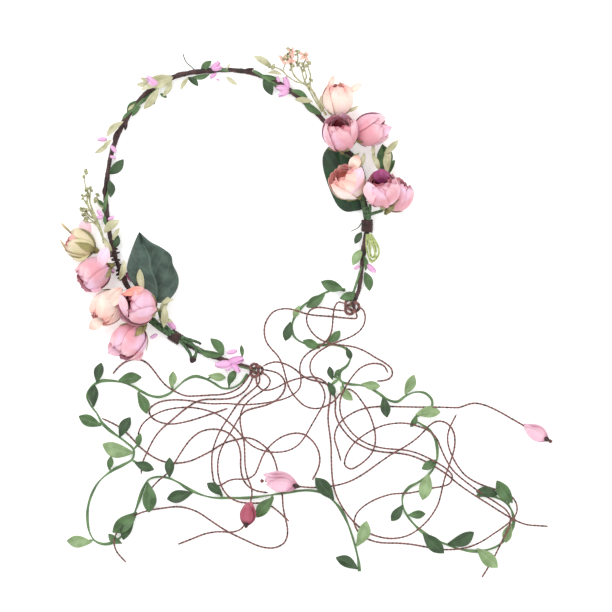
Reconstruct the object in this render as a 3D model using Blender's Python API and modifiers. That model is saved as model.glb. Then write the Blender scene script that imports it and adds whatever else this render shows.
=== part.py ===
"""Flower crown: an open vine ring with two clusters of silk buds, leaves, and loose twisted cords.

The crown lies flat on the plane z = 0, its ring axis along +Z. Units are metres.
"""

import math

import bmesh
import bpy
import numpy as np
from mathutils import Vector

MM = 0.001

# Driving dimensions of the ring.
RING_WIDTH = 0.1740
RING_DEPTH = 0.1980
BAND_DIAMETER = 0.0044
WIRE_DIAMETER = 0.0018
WRAP_WALL = 0.0013
WRAP_LENGTH = 0.0085

# Buds, leaves and stems.
BUD_SCALE = 1.0
PETAL_WALL = 0.0009
LEAF_THICKNESS = 0.0009
STEM_DIAMETER = 0.0022
SPRIG_DIAMETER = 0.0016

# Cords, ribbons and what hangs on them.
CORD_DIAMETER = 0.0013
VINE_DIAMETER = 0.0023
MOST_SEGMENTS = 78
KNOT_RADIUS = 0.0032
KNOT_HEIGHT = 0.0040
GAP = 0.00035
CHARM_HEIGHT = 0.0048
BEAD_RADIUS = 0.0013

# Sizes that follow from those above. A sleeve has eight sides, so its flats lie inside its corners.
FLAT_SHARE = math.cos(math.pi / 8)
TAPE_INNER = (WIRE_DIAMETER / 2 + 0.0006) / FLAT_SHARE
WRAP_INNER = (BAND_DIAMETER / 2 + 0.0006) / FLAT_SHARE
WRAP_RADIUS = WRAP_INNER + WRAP_WALL
BAND_Z = WRAP_RADIUS * FLAT_SHARE
ABOVE_BAND = BAND_Z + BAND_DIAMETER / 2 + GAP

# The ring from its left end, clockwise over the top, to its right end; a half width or depth is 1.
RING_ROUTE = (
    (0.05, -1.015), (-0.10, -0.97), (-0.25, -0.92), (-0.46, -0.82), (-0.636, -0.70),
    (-0.79, -0.53), (-0.89, -0.345), (-0.95, -0.16), (-0.985, 0.04), (-0.98, 0.23),
    (-0.935, 0.44), (-0.83, 0.65), (-0.66, 0.83), (-0.44, 0.935), (-0.17, 0.97),
    (0.06, 0.965), (0.28, 0.905), (0.48, 0.80), (0.65, 0.66), (0.81, 0.50), (0.925, 0.31),
    (0.985, 0.12), (1.012, -0.07), (0.985, -0.24), (0.965, -0.39), (0.93, -0.52),
)

# Places round the ring, in millimetres on the ring as sized above. They keep their distance from
# the ring when its size changes.
AS_DRAWN = (0.0870, 0.0990)
LEFT_KNOT = (14, -103.5)
RIGHT_KNOT = (77.5, -61.3)
WRAPS = (("wrap_left", (-40, -81.3)), ("wrap_right", (88.3, -7.3)))

# Buds: name, centre, radius, heading of the mouth and its tilt up from flat in degrees. Each lies
# over the ring and over the buds before it.
BUDS = (
    ("bud_a", (-103, -19.5), 10.0, 158, 12),
    ("bud_b", (-94, -39.5), 11.2, 205, 15),
    ("bud_c", (-84.5, -61.5), 11.3, 232, 18),
    ("bud_e", (-70, -84.5), 12.0, 226, 14),
    ("bud_f", (68.5, 76.5), 10.5, 92, 20),
    ("bud_h", (90.5, 56), 11.4, 18, 16),
    ("bud_k", (113.5, 12.5), 9.0, 58, 14),
    ("bud_i", (75, 21.5), 12.0, 128, 32),
    ("bud_d", (-64, -61), 12.4, 170, 36),
    ("bud_g", (70, 53.5), 12.0, 95, 38),
    ("bud_j", (97.5, 16), 11.8, 96, 38),
)
HEARTED_BUDS = ("bud_d", "bud_g", "bud_i", "bud_j")
CALYX_BUDS = ("bud_a", "bud_e", "bud_f")
STEM_FEET = {"bud_d": -0.03, "bud_g": 0.02, "bud_i": 0.008, "bud_j": 0.012}

# Leaves, sprigs and folded stem ends; each moves with the place on the ring next to its first point.
LEAF_LEFT = (
    (-70, -42), (-72, -36), (-71, -31), (-66.7, -20.7), (-63.3, -12), (-56, -18.7),
    (-49, -21.8), (-41.5, -27.3), (-40.3, -34.5), (-37, -43), (-38, -50), (-42.5, -55.5),
    (-49.5, -58.7), (-57, -56), (-64, -50),
)
LEAF_RIGHT = (
    (80, 12), (79.3, 22), (75.3, 33), (68, 42.5), (59.3, 42.2), (58.3, 32.2), (62.2, 18.9),
    (67.8, 6.7), (76.5, 1.7), (81, 4),
)
LEAF_SIDE = ((95.5, 33), (96, 43), (100, 46), (104, 42), (103.5, 33), (99, 27))
SPRIG_LEFT = ((-81.3, -26.7), (-85.3, -13.3), (-90, 0), (-94, 11.3), (-97.3, 23.3))
SPRIG_RIGHT = ((58, 64.7), (52.7, 74.7), (47.3, 84.7), (42, 95.3), (38.7, 106))
FOLD_LEFT = ((-34.5, -86.8), (-31, -92), (-27.5, -96), (-24.5, -91.5), (-28.5, -86.5), (-32.5, -83.8))
FOLD_RIGHT = (
    (90.3, -13.8), (94.8, -20.5), (95.5, -26.5), (92, -30.8), (88.4, -27), (87.3, -20), (87, -14.3),
)

# Free cords, each by the points it follows, in millimetres. A cord lies over those before it.
CORD_ROUTES = {
    "vine_left": (
        (8.5, -106), (4.5, -111.5), (-1, -115), (-8, -115.5), (-16, -111), (-25, -107.5),
        (-33, -110), (-41, -117), (-48, -121), (-56, -120.5), (-64, -116.5), (-72, -112.5),
        (-82, -110.5), (-90, -111), (-96, -115), (-98.5, -120.5), (-96, -127), (-91.5, -133),
        (-87.5, -140), (-80, -146), (-72.5, -151.5), (-67.5, -156.5), (-67.5, -161.5),
        (-73.5, -166), (-82, -170.5), (-90, -177), (-95, -185), (-98, -195), (-98, -206),
        (-95.5, -214.5), (-90, -219), (-82, -218.5), (-75, -213.5), (-69.5, -204.5),
        (-65, -193.5), (-61.5, -183), (-57, -176), (-49, -174.5), (-40, -177), (-32, -182),
        (-23.5, -186), (-14, -188.5), (-3, -188.5), (8, -188.5), (18, -187.5), (28, -186),
        (38, -184.5), (48, -183.5), (57, -185), (65, -190), (71.5, -198), (76, -208),
        (79.5, -219), (82, -229), (83, -237.5),
    ),
    "vine_right": (
        (73.5, -50), (68, -49.5), (61, -51.5), (53, -55.5), (46, -60), (40.5, -66.5),
        (38, -74), (39.5, -81), (46, -85.5), (55, -86.8), (65, -86.5), (73, -88.5),
        (77, -93.5), (75, -100), (70, -104.5), (69.5, -109.5), (75, -112.5), (84, -113.5),
        (92, -116.5), (99.5, -121.5), (106, -125), (111.5, -122), (118, -118.5),
        (126, -118.5), (131, -123), (131, -129), (125, -132.5), (119, -134.5), (120.5, -138),
        (127, -141), (132, -146.5), (134.5, -154), (134.5, -163), (130.5, -171.5),
        (123, -177.5), (115.5, -182), (111.5, -188.5), (112.5, -196), (117, -203.5),
        (124, -210.5), (132, -215.5), (141, -219.5), (151, -223), (162, -224),
        (173, -221.5), (181, -215.5), (185.5, -207), (184.5, -197.5), (179, -190.5),
        (170, -187.5), (161, -187),
    ),
    "cord_loop_left": (
        (-88.5, -135.5), (-82, -138.5), (-76, -142), (-70, -147.5), (-63.5, -154.5),
        (-56.5, -160), (-48.5, -164), (-40, -165.5), (-30, -164), (-22, -160.5),
        (-14.5, -156.5), (-8, -152.5), (0, -150), (8, -148.5), (14.5, -150.5),
        (20, -154.5), (24.5, -159.5), (27, -165.5), (28.5, -172), (30, -179),
        (31.5, -186), (32, -194), (33.5, -202), (35, -209.5), (34, -216.5),
        (30, -220.5), (23.5, -222), (15.5, -220.5), (6.5, -216.5), (-2, -212.5),
        (-9, -208.5), (-16.5, -203.5), (-24, -198.5), (-31.5, -195.5), (-39.5, -194.5),
        (-48.5, -195.5), (-58, -197), (-66.5, -200), (-73, -204.5), (-78, -210.5),
        (-80.5, -217.5), (-78.5, -224.5), (-72.5, -231.5),
    ),
    "cord_short_left": (
        (-56, -182.5), (-51.5, -177.5), (-44.5, -171.5), (-39.5, -164), (-35.5, -157.5),
        (-30, -150), (-23.5, -144.8), (-16, -142.8), (-8.5, -143.5), (-2, -147),
        (2, -152.5), (3.7, -159.5), (3.7, -167.5), (5, -175), (8.5, -180.5),
        (14.5, -183.8), (22, -185),
    ),
    "cord_a": (
        (10.3, -105.2), (7, -110.5), (3, -115), (-2.5, -118), (-9, -119.6), (-16, -120),
        (-24.5, -120.5), (-32.5, -120.5), (-40, -117.5), (-46, -113.5), (-50.5, -108.5),
        (-55, -102.5), (-60, -97.8), (-66.5, -96.2), (-73, -98), (-78, -101.8), (-81.5, -106),
    ),
    "cord_b": (
        (12.1, -106.8), (10, -112.5), (6, -117.8), (0, -121.3), (-6, -122.6), (-14.5, -122.8),
        (-21.5, -123.2), (-27.5, -125.5), (-34, -130), (-43.5, -138), (-50, -143.8),
        (-54.5, -150), (-58.5, -158), (-61.5, -165), (-62.5, -172.5),
    ),
    "cord_c": (
        (16.3, -106.7), (16, -112), (11.3, -117), (5.5, -121.8), (1, -127), (-3, -133),
        (-7, -139), (-10.5, -145), (-13, -151), (-15, -158), (-15.5, -165.5), (-15, -173),
        (-13.5, -178.8), (-10, -180.5), (-6, -177.8), (0, -176), (7, -176), (12.5, -173.5),
        (15.5, -168), (18, -161.5), (21.5, -156), (26.5, -151), (32.5, -147.3),
        (39.5, -145.5), (46, -146.3), (51.5, -150.5), (55.3, -156.5), (56.5, -163.5),
        (55, -170), (51.5, -176.5),
    ),
    "cord_d": (
        (18.9, -103), (24, -104), (28.5, -105.5), (32, -108.8), (33.5, -113.5), (32, -118.5),
        (28, -123), (21.5, -126.5), (14, -128.5), (7.5, -130.5), (3.5, -134), (0.5, -139),
        (-3, -145), (-7, -151.5), (-10.2, -158.8), (-11.5, -166.8), (-10.8, -175),
        (-8.3, -182), (-4, -187.5), (2.5, -191), (11, -192), (19, -192), (25, -194.5),
        (30, -198.5), (36, -204),
    ),
    "cord_e": (
        (17.9, -105.1), (22.3, -108), (23.2, -112.5), (19, -116.8), (13, -120.8),
        (7.5, -125.5), (4.3, -131), (3.5, -137.5), (4.5, -144), (6, -151), (6.5, -159),
        (6.8, -167), (8.3, -174.5), (10.8, -181), (11.2, -187), (10, -192.5), (8.5, -198.5),
        (7.3, -204.5), (3.5, -209.5), (-3, -211.3), (-11, -211), (-20, -212.5), (-29, -216),
        (-38, -219.5),
    ),
    "cord_f": (
        (18.8, -100.7), (23.5, -98.6), (28.5, -98), (34, -99.5), (39.5, -102.5), (44, -106.3),
        (49, -109.5), (55.5, -111), (61.5, -113), (65.5, -118), (67, -124.5), (66.8, -131.5),
        (68.8, -138), (72.7, -144), (77.7, -149.5), (83.7, -153.5), (90.7, -156.5),
        (98.5, -158), (107.5, -158.7), (117, -160.3), (126, -163.8), (134, -168.2),
        (141, -172.8), (147, -177.8), (153, -182.3), (160.5, -187.3), (170, -193.3),
        (179.5, -199.3), (187, -203.5), (194.5, -206.3), (202, -207), (208.5, -207.5),
    ),
    "cord_g": (
        (14.2, -107), (15, -113.2), (19.5, -116.8), (26.5, -115.5), (33.5, -112), (42, -109),
        (51.5, -108), (58, -109.8), (62.3, -114.5), (63.5, -121), (62.5, -128.5),
        (62, -136.5), (63, -145), (64, -154), (64.2, -163.5), (64.7, -173.5), (66, -182),
        (68.7, -189.5), (72.7, -196.5), (77.7, -203), (83.7, -208.7), (91, -212.8),
        (100, -215.3), (108, -215.3), (115.5, -213.3), (122, -209.3), (128, -203.8),
        (132.5, -197.8), (135.7, -191.5), (137.7, -183.5), (139.8, -174.5), (143.5, -164),
        (146.3, -154), (145.8, -145), (141.8, -139.3), (136, -137.3), (130.5, -139.5),
        (126, -144), (120, -149.7), (112.5, -154.8), (104.5, -159.3), (95.5, -165.5),
        (86, -172.3), (76.5, -177.5), (66.5, -180.3), (58, -181.3), (50, -181.5),
        (41, -180.5), (30, -178.5), (20, -177.3),
    ),
    "cord_h": (
        (70.5, -164), (68.3, -156), (66.3, -149), (67.5, -142.5), (71, -137.3),
        (75.5, -133.7), (81.5, -130.5), (88.5, -128.5), (98, -127.6), (110, -127.8),
        (122, -128), (134, -128), (143.5, -128.3), (150, -128.2), (155, -126.3),
        (160.5, -125.5), (168, -127.3), (176.5, -131.3), (183.5, -135.3), (190, -139),
        (196, -142.5), (202.5, -146.3), (208.5, -149.8),
    ),
    "cord_k": (
        (80.5, -64.5), (82.4, -66.6), (80.3, -68.9), (72.5, -68.6), (63.5, -67.6), (54, -67),
        (46, -65.5), (39.5, -63.3), (33.5, -62.5), (26.5, -64), (21.5, -69.5), (19.5, -76),
        (20.5, -83.5), (24.5, -89.5), (29, -94.5), (31.8, -100.5), (33.8, -108),
        (36.3, -115.5), (40.8, -122), (46.8, -127.3), (54, -129), (60.5, -127.3),
        (66.5, -123.5), (70.8, -118.3), (75.5, -116), (80, -118.5), (84.3, -124),
        (88.5, -130.5), (91.5, -138), (93.4, -146), (93, -154), (89.8, -160.5),
        (84.3, -165.5), (79, -168.8), (74.8, -169), (73, -165.5), (74.5, -159.5),
        (78.5, -153), (84.3, -147.7), (91.5, -143.3), (99, -140.2), (107.5, -138.7),
        (115.5, -139), (123.5, -141.3), (129.5, -144), (134.3, -149), (137.3, -156),
        (140.8, -163.5), (145.3, -170.3), (151, -175.5), (157, -180.2), (164.3, -185.5),
        (173, -191), (180.5, -196.5), (183.3, -202.5), (181.8, -209), (178.3, -216),
        (174.5, -224), (170, -232.5), (164.5, -241.5),
    ),
    "cord_m": (
        (72.4, -58.8), (69, -58), (66.2, -62), (65.2, -69.5), (64.5, -76.5), (62, -82.5),
        (56.5, -87.5), (50.5, -90.7), (45.7, -95), (43.2, -101), (43.8, -107.5),
        (43.5, -114), (39.5, -119), (32, -122.7), (22.5, -124.8), (13, -126), (4, -126.3),
        (-5, -125.6), (-14.5, -125.8), (-22, -125.2), (-30, -123.8), (-40, -123.2),
        (-48.5, -124.2), (-54, -126.6), (-57.2, -130.3), (-55.5, -134.8), (-50, -138),
        (-42, -139.3), (-31.5, -137.5), (-21.5, -134.5), (-13, -131.7), (-5, -129),
    ),
    "cord_n": (
        (72.4, -63.9), (66.5, -63.2), (60, -62), (54, -61.7), (49.5, -64.2), (47.6, -69.5),
        (49.5, -75.5), (53.5, -80.5), (59, -84), (66, -86.2), (73.5, -87), (80.5, -88.3),
        (87.5, -91.3), (94, -95.3), (100.5, -99), (104.7, -103.5), (104, -108),
        (100, -110.2), (94.5, -110.7),
    ),
    "cord_o": (
        (81.6, -61.3), (85.3, -63.3), (86.7, -69), (84.6, -75.3), (79.5, -79.8),
        (73.5, -82.7), (66.5, -85.2), (59.5, -88.7), (53.7, -93), (50.3, -98.5),
        (50.5, -104.7), (54.3, -109.7), (58, -114.3), (59.8, -120), (58.8, -126),
        (55.3, -132.5), (51, -140), (47, -147), (42.3, -153), (36, -156.7), (28.5, -158),
        (20.5, -157.3), (13, -154.5), (7, -149.8), (2, -144), (-3.5, -138.5), (-9.5, -134),
        (-16.5, -130.8), (-25.5, -128.7), (-33.5, -128.2), (-41.5, -129), (-48.5, -130.8),
        (-55.5, -134.2), (-61, -138.8), (-64, -144.5), (-64.5, -152.5),
    ),
    "cord_p": (
        (102, -105.2), (99.7, -101), (94.7, -99), (88, -99.8), (82.3, -103), (78, -108),
        (74, -114), (70.8, -120.5), (69.8, -127.5), (71, -134.5), (74.7, -141),
        (79.7, -146.8), (86.2, -151.3), (94, -154.3), (102, -155.7), (110.5, -156.3),
        (118.5, -157.7), (126.3, -160.7), (134.3, -164.8), (141, -169.3), (144.6, -174),
        (143, -178.5), (138, -180.6), (131.3, -181.8), (123.5, -183.7), (115, -185.3),
        (106, -185.7), (97.5, -188), (89.7, -191.5), (83, -196.5), (79.5, -202.5),
        (80.8, -209), (86, -214.5), (93.5, -217.7), (102, -218.7), (110, -218.8),
        (118.5, -219.7), (127.5, -221.3), (137, -222.7), (147, -222.7), (157, -220.7),
        (165.5, -216.7), (173, -211.5), (180, -206.5), (185.8, -201), (187.7, -195),
        (185.5, -189), (179.7, -184.7), (170.5, -182), (161.5, -178.5), (153.7, -173.7),
        (148.5, -167.5), (144.3, -160), (141.7, -152), (142, -144.7), (144.7, -138.3),
        (147.5, -132.8),
    ),
}
VINES = ("vine_left", "vine_right")
TIED_LEFT = ("cord_a", "cord_b", "cord_c", "cord_d", "cord_e", "cord_f", "cord_g")
TIED_RIGHT = ("cord_k", "cord_m", "cord_n", "cord_o")
WITH_RIGHT_KNOT = TIED_RIGHT + ("vine_right", "cord_h", "cord_p")

# Petal charms: name, the cord each is tied to, centre, length and width in mm, and heading of the
# base in degrees.
CHARMS = (
    ("petal_charm_pink", "cord_g", (30, -178), 24, 13.5, -12),
    ("petal_charm_rose", "cord_e", (8.5, -198.5), 17, 11, -97),
    ("petal_charm_end", "cord_h", (200, -145), 19, 11, -30),
)
BEADS = (("charm_knot_pink", "cord_g"), ("charm_knot_end", "cord_h"))

COLOURS = {
    "wire": (0.12, 0.16, 0.07, 0.5),
    "tape": (0.07, 0.035, 0.03, 0.8),
    "stem": (0.18, 0.32, 0.08, 0.6),
    "leaf_dark": (0.03, 0.09, 0.045, 0.6),
    "leaf_green": (0.09, 0.20, 0.06, 0.6),
    "sprig": (0.42, 0.42, 0.22, 0.6),
    "petal_pink": (0.80, 0.36, 0.42, 0.5),
    "petal_cream": (0.92, 0.72, 0.58, 0.5),
    "petal_rose": (0.55, 0.08, 0.14, 0.5),
    "petal_olive": (0.55, 0.50, 0.28, 0.6),
    "calyx": (0.32, 0.31, 0.13, 0.6),
    "cord": (0.16, 0.06, 0.055, 0.8),
}
CREAM_BUDS = ("bud_c", "bud_f", "bud_i")


def clear_scene():
    for obj in list(bpy.data.objects):
        bpy.data.objects.remove(obj, do_unlink=True)


def material(name):
    """The Principled BSDF material of this name, made once from COLOURS."""
    found = bpy.data.materials.get(name)
    if found:
        return found
    red, green, blue, roughness = COLOURS[name]
    made = bpy.data.materials.new(name)
    made.use_nodes = True
    shader = made.node_tree.nodes["Principled BSDF"]
    shader.inputs["Base Color"].default_value = (red, green, blue, 1)
    shader.inputs["Roughness"].default_value = roughness
    return made


def add_object(name, data, finish):
    obj = bpy.data.objects.new(name, data)
    data.materials.append(material(finish))
    bpy.data.collections["flower_crown"].objects.link(obj)
    return obj


def smooth_route(points, spacing):
    """Points at equal steps along a Catmull-Rom curve through the given points."""
    route = np.asarray(points, float)
    ends = np.vstack([2 * route[0] - route[1], route, 2 * route[-1] - route[-2]])
    steps = np.linspace(0, 1, 16, endpoint=False)[:, None]
    dense = []
    for before, start, end, after in zip(ends, ends[1:], ends[2:], ends[3:]):
        dense.append(
            0.5 * (2 * start + (end - before) * steps
                   + (2 * before - 5 * start + 4 * end - after) * steps**2
                   + (3 * start - before - 3 * end + after) * steps**3)
        )
    dense = np.vstack(dense + [route[-1:]])
    lengths = np.concatenate([[0], np.cumsum(np.linalg.norm(np.diff(dense, axis=0), axis=1))])
    count = max(2, round(lengths[-1] / spacing) + 1)
    wanted = np.linspace(0, lengths[-1], count)
    return np.column_stack([np.interp(wanted, lengths, dense[:, i]) for i in range(dense.shape[1])])


def tube(name, points, diameter, finish, resolution=2):
    """A round tube with filled caps along a polyline."""
    curve = bpy.data.curves.new(name, "CURVE")
    curve.dimensions = "3D"
    curve.bevel_depth = diameter / 2
    curve.bevel_resolution = resolution
    curve.use_fill_caps = True
    spline = curve.splines.new("POLY")
    spline.points.add(len(points) - 1)
    for point, place in zip(spline.points, points):
        point.co = (*place, 1)
    return add_object(name, curve, finish)


def mesh_from(name, bm, finish):
    mesh = bpy.data.meshes.new(name)
    bmesh.ops.recalc_face_normals(bm, faces=bm.faces)
    bm.to_mesh(mesh)
    bm.free()
    for face in mesh.polygons:
        face.use_smooth = True
    return add_object(name, mesh, finish)


def sleeve(name, centres, outer, inner, finish, sides=8):
    """A hollow tube with flat ends round a centreline that lies in a plane of constant z."""
    bm = bmesh.new()
    rings = []
    tangents = np.gradient(centres, axis=0)
    for centre, tangent in zip(centres, tangents):
        across = Vector((-tangent[1], tangent[0], 0)).normalized()
        for radius in (outer, inner):
            ring = []
            for side in range(sides):
                turn = 2 * math.pi * (side + 0.5) / sides
                place = Vector(centre) + radius * (math.cos(turn) * across + Vector((0, 0, math.sin(turn))))
                ring.append(bm.verts.new(place))
            rings.append(ring)
    for side in range(sides):
        after = (side + 1) % sides
        for first in range(0, len(rings) - 2, 2):
            for wall in (0, 1):
                here, there = rings[first + wall], rings[first + wall + 2]
                bm.faces.new((here[side], here[after], there[after], there[side]))
        for end in (0, len(rings) - 2):
            bm.faces.new((rings[end][side], rings[end][after], rings[end + 1][after], rings[end + 1][side]))
    return mesh_from(name, bm, finish)


class Ring:
    """The ring's centreline, read by a fraction of its length or by a place near it."""

    def __init__(self):
        drawn = smooth_route(RING_ROUTE, 0.01)
        self.drawn = drawn * np.array(AS_DRAWN)
        flat = drawn * np.array((RING_WIDTH / 2, RING_DEPTH / 2))
        self.points = np.column_stack([flat, np.full(len(flat), BAND_Z)])
        steps = np.linalg.norm(np.diff(self.points, axis=0), axis=1)
        self.along = np.concatenate([[0], np.cumsum(steps)])
        self.length = self.along[-1]

    def at(self, fraction):
        wanted = fraction * self.length
        return np.array([np.interp(wanted, self.along, self.points[:, i]) for i in range(3)])

    def stretch(self, fractions):
        return np.array([self.at(fraction) for fraction in fractions])

    def nearest(self, place):
        """The fraction of the ring's length next to a flat place given in metres."""
        index = np.linalg.norm(self.points[:, :2] - place[:2], axis=1).argmin()
        return self.along[index] / self.length

    def carried(self, drawn, anchor=None):
        """Flat places in millimetres on the drawn ring, moved to this ring with their anchor."""
        flat = np.atleast_2d(np.array(drawn, float)) * MM
        first = flat[0] if anchor is None else np.array(anchor) * MM
        index = np.linalg.norm(self.drawn - first, axis=1).argmin()
        return flat + self.points[index, :2] - self.drawn[index]


def make_band(ring):
    """The wire core, the tape wound on it, and the two wider bindings over the tape."""
    taped = np.linspace(0.022, 0.968, 38)
    whole = np.concatenate([[0.008], taped, [0.985]])
    tube("core_wire", ring.stretch(whole), WIRE_DIAMETER, "wire", resolution=1)
    sleeve("band_tape", ring.stretch(taped), BAND_DIAMETER / 2, TAPE_INNER, "tape")
    half = WRAP_LENGTH / 2 / ring.length
    for name, place in WRAPS:
        middle = ring.nearest(ring.carried(place)[0])
        centres = ring.stretch((middle - half, middle, middle + half))
        sleeve(name, centres, WRAP_RADIUS, WRAP_INNER, "tape")


def ball(name, centre, radii, finish, heading=0.0, sides=10, rings=6):
    """A closed egg shape with its long axis at the heading."""
    bm = bmesh.new()
    bmesh.ops.create_uvsphere(bm, u_segments=sides, v_segments=rings, radius=1)
    turn = math.radians(heading)
    for vert in bm.verts:
        x, y, z = (value * radius for value, radius in zip(vert.co, radii))
        vert.co = (
            centre[0] + x * math.cos(turn) - y * math.sin(turn),
            centre[1] + x * math.sin(turn) + y * math.cos(turn),
            centre[2] + z,
        )
    return mesh_from(name, bm, finish)


def make_knots(ring):
    for name, place in (("knot_left", LEFT_KNOT), ("knot_right", RIGHT_KNOT)):
        centre = (*ring.carried(place)[0], KNOT_HEIGHT)
        ball(name, centre, (KNOT_RADIUS, KNOT_RADIUS, KNOT_HEIGHT - 0.0001), "tape")


def bud_frame(heading, tilt):
    """The bud's mouth direction and the two directions across it."""
    turn, rise = math.radians(heading), math.radians(tilt)
    mouth = Vector((math.cos(turn) * math.cos(rise), math.sin(turn) * math.cos(rise), math.sin(rise)))
    side = Vector((-math.sin(turn), math.cos(turn), 0))
    return mouth, side, mouth.cross(side)


def cup(name, centre, radius, axes, finish, mouth_open=0.55, lobes=5, sides=10, rows=6):
    """A bud's outer petals: a sphere open at its mouth, with a lobed rim, given a wall."""
    mouth, side, other = axes
    bm = bmesh.new()
    levels = []
    last = math.pi - mouth_open
    for row in range(1, rows + 1):
        level = []
        for step in range(sides):
            turn = 2 * math.pi * step / sides
            angle = last * row / rows
            share = row / rows
            reach = radius * (0.97 - 0.05 * share**3 * (1 - math.cos(lobes * turn)))
            ring, height = reach * math.sin(angle), -reach * math.cos(angle)
            place = Vector(centre) + ring * (math.cos(turn) * side + math.sin(turn) * other) + height * mouth
            level.append(bm.verts.new(place))
        levels.append(level)
    base = bm.verts.new(Vector(centre) - 0.97 * radius * mouth)
    for step in range(sides):
        after = (step + 1) % sides
        bm.faces.new((base, levels[0][after], levels[0][step]))
        for low, high in zip(levels, levels[1:]):
            bm.faces.new((low[step], low[after], high[after], high[step]))
    obj = mesh_from(name, bm, finish)
    wall = obj.modifiers.new("wall", "SOLIDIFY")
    wall.thickness = PETAL_WALL
    wall.offset = -1
    return obj


def over_ball(place, other, reach):
    """The least height that keeps a centre at this reach from another centre."""
    flat = np.linalg.norm(np.array(place[:2]) - np.array(other[:2]))
    return other[2] + math.sqrt(reach**2 - flat**2) if flat < reach else 0


def bud_places(ring):
    """Each bud's centre, size, heading and tilt, piled over the ring and the buds before it."""
    places = {}
    for name, drawn, radius, heading, tilt in BUDS:
        size = radius * MM * BUD_SCALE
        flat = ring.carried(drawn)[0]
        heights = [size + 0.0002]
        heights += [over_ball(flat, point, size + BAND_DIAMETER / 2 + GAP) for point in ring.points]
        heights += [over_ball(flat, row[0], size + row[1] + GAP) for row in places.values()]
        places[name] = (np.array((*flat, max(heights))), size, heading, tilt)
    return places


def bud_finish(name):
    if name == "bud_a":
        return "petal_olive"
    return "petal_cream" if name in CREAM_BUDS else "petal_pink"


def make_buds(ring):
    places = bud_places(ring)
    for name, (centre, radius, heading, tilt) in places.items():
        axes = bud_frame(heading, tilt)
        hearted = name in HEARTED_BUDS
        cup(f"{name}_petals", centre, radius, axes, bud_finish(name), 0.85 if hearted else 0.45)
        mouth = np.array(axes[0])
        if hearted:
            core = radius * 0.87 - PETAL_WALL - 0.0006
            ball(f"{name}_heart", centre, (core, core, core), "petal_rose", sides=8, rings=5)
        if name in CALYX_BUDS:
            start = centre - mouth * (radius + 2 * GAP)
            tip = start - mouth * 0.0045
            tube(f"{name}_calyx", np.array([start, (start + tip) / 2, tip]), 0.0046, "calyx", 1)
    return places


def clear_of_wraps(ring, fraction):
    """A place along the ring, moved off any binding that a stem's foot there would touch."""
    reach = (WRAP_LENGTH / 2 + STEM_DIAMETER + 2 * GAP) / ring.length
    for _, place in WRAPS:
        middle = ring.nearest(ring.carried(place)[0])
        if abs(fraction - middle) < reach:
            fraction = middle + math.copysign(reach, fraction - middle)
    return fraction


def make_stems(ring, places):
    """The stems that carry the raised buds, each from the top of the ring to the bud's base."""
    for name, shift in STEM_FEET.items():
        centre, radius, heading, tilt = places[name]
        mouth = np.array(bud_frame(heading, tilt)[0])
        base = centre - mouth * (radius + 2 * GAP)
        lead = base - mouth * 0.004
        foot = ring.at(clear_of_wraps(ring, ring.nearest(base) + shift))
        foot[2] = ABOVE_BAND + STEM_DIAMETER / 2
        lead[2] = max(lead[2], foot[2])
        route = smooth_route([foot, (foot + lead) / 2, lead, base], 0.005)
        tube(f"{name}_stem", route, STEM_DIAMETER, "stem", 1)


def leaf(name, outline, height, finish):
    """A flat leaf cut to an outline, its middle at the given height."""
    curve = bpy.data.curves.new(name, "CURVE")
    curve.dimensions = "2D"
    curve.fill_mode = "BOTH"
    curve.extrude = LEAF_THICKNESS / 2
    points = smooth_route(np.vstack([outline, outline[:1]]), 0.005)[:-1]
    spline = curve.splines.new("POLY")
    spline.use_cyclic_u = True
    spline.points.add(len(points) - 1)
    for point, place in zip(spline.points, points):
        point.co = (place[0], place[1], 0, 1)
    obj = add_object(name, curve, finish)
    obj.location.z = height
    return obj


def make_leaves(ring):
    leaf("leaf_left", ring.carried(LEAF_LEFT), ABOVE_BAND + LEAF_THICKNESS, "leaf_dark")
    under_band = BAND_Z - BAND_DIAMETER / 2 - GAP - LEAF_THICKNESS / 2
    leaf("leaf_right", ring.carried(LEAF_RIGHT), under_band, "leaf_dark")
    leaf("leaf_side", ring.carried(LEAF_SIDE), BAND_Z + 0.001, "leaf_green")


def make_greenery(ring):
    """The pale sprigs and the folded stem ends by each binding."""
    runs = (
        ("sprig_left", SPRIG_LEFT, SPRIG_DIAMETER, "sprig", 0.006),
        ("sprig_right", SPRIG_RIGHT, SPRIG_DIAMETER, "sprig", 0.006),
        ("stem_fold_left", FOLD_LEFT, STEM_DIAMETER * 0.8, "stem", 0.004),
        ("stem_fold_right", FOLD_RIGHT, STEM_DIAMETER * 0.8, "stem", 0.004),
    )
    for name, drawn, diameter, finish, spacing in runs:
        flat = smooth_route(ring.carried(drawn), spacing)
        height = np.full(len(flat), ABOVE_BAND + diameter / 2 + GAP)
        tube(name, np.column_stack([flat, height]), diameter, finish, 1)


def dense_points(path, step=0.0006):
    """Points close together along a polyline, and the index of the vertex before each."""
    found, owner = [], []
    for index, (start, end) in enumerate(zip(path, path[1:])):
        count = max(2, int(np.linalg.norm(end - start) / step) + 1)
        share = np.linspace(0, 1, count)[:, None]
        found.append(start + (end - start) * share)
        owner += [index] * count
    return np.vstack(found), np.array(owner)


def need_over(points, radius, lower, lower_radii, skip_near=None):
    """How high the centreline must be at each point to pass over the lower points."""
    floor = np.zeros(len(points))
    for first in range(0, len(lower), 4000):
        part, radii = lower[first:first + 4000], lower_radii[first:first + 4000]
        flat = np.linalg.norm(points[:, None, :2] - part[None, :, :2], axis=2)
        reach = radius + radii[None, :] + GAP
        rise = part[None, :, 2] + np.sqrt(np.clip(reach**2 - flat**2, 0, None))
        touching = flat < reach
        if skip_near is not None:
            touching &= skip_near[:, first:first + 4000]
        floor = np.maximum(floor, np.where(touching, rise, 0).max(axis=1))
    return floor


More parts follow.
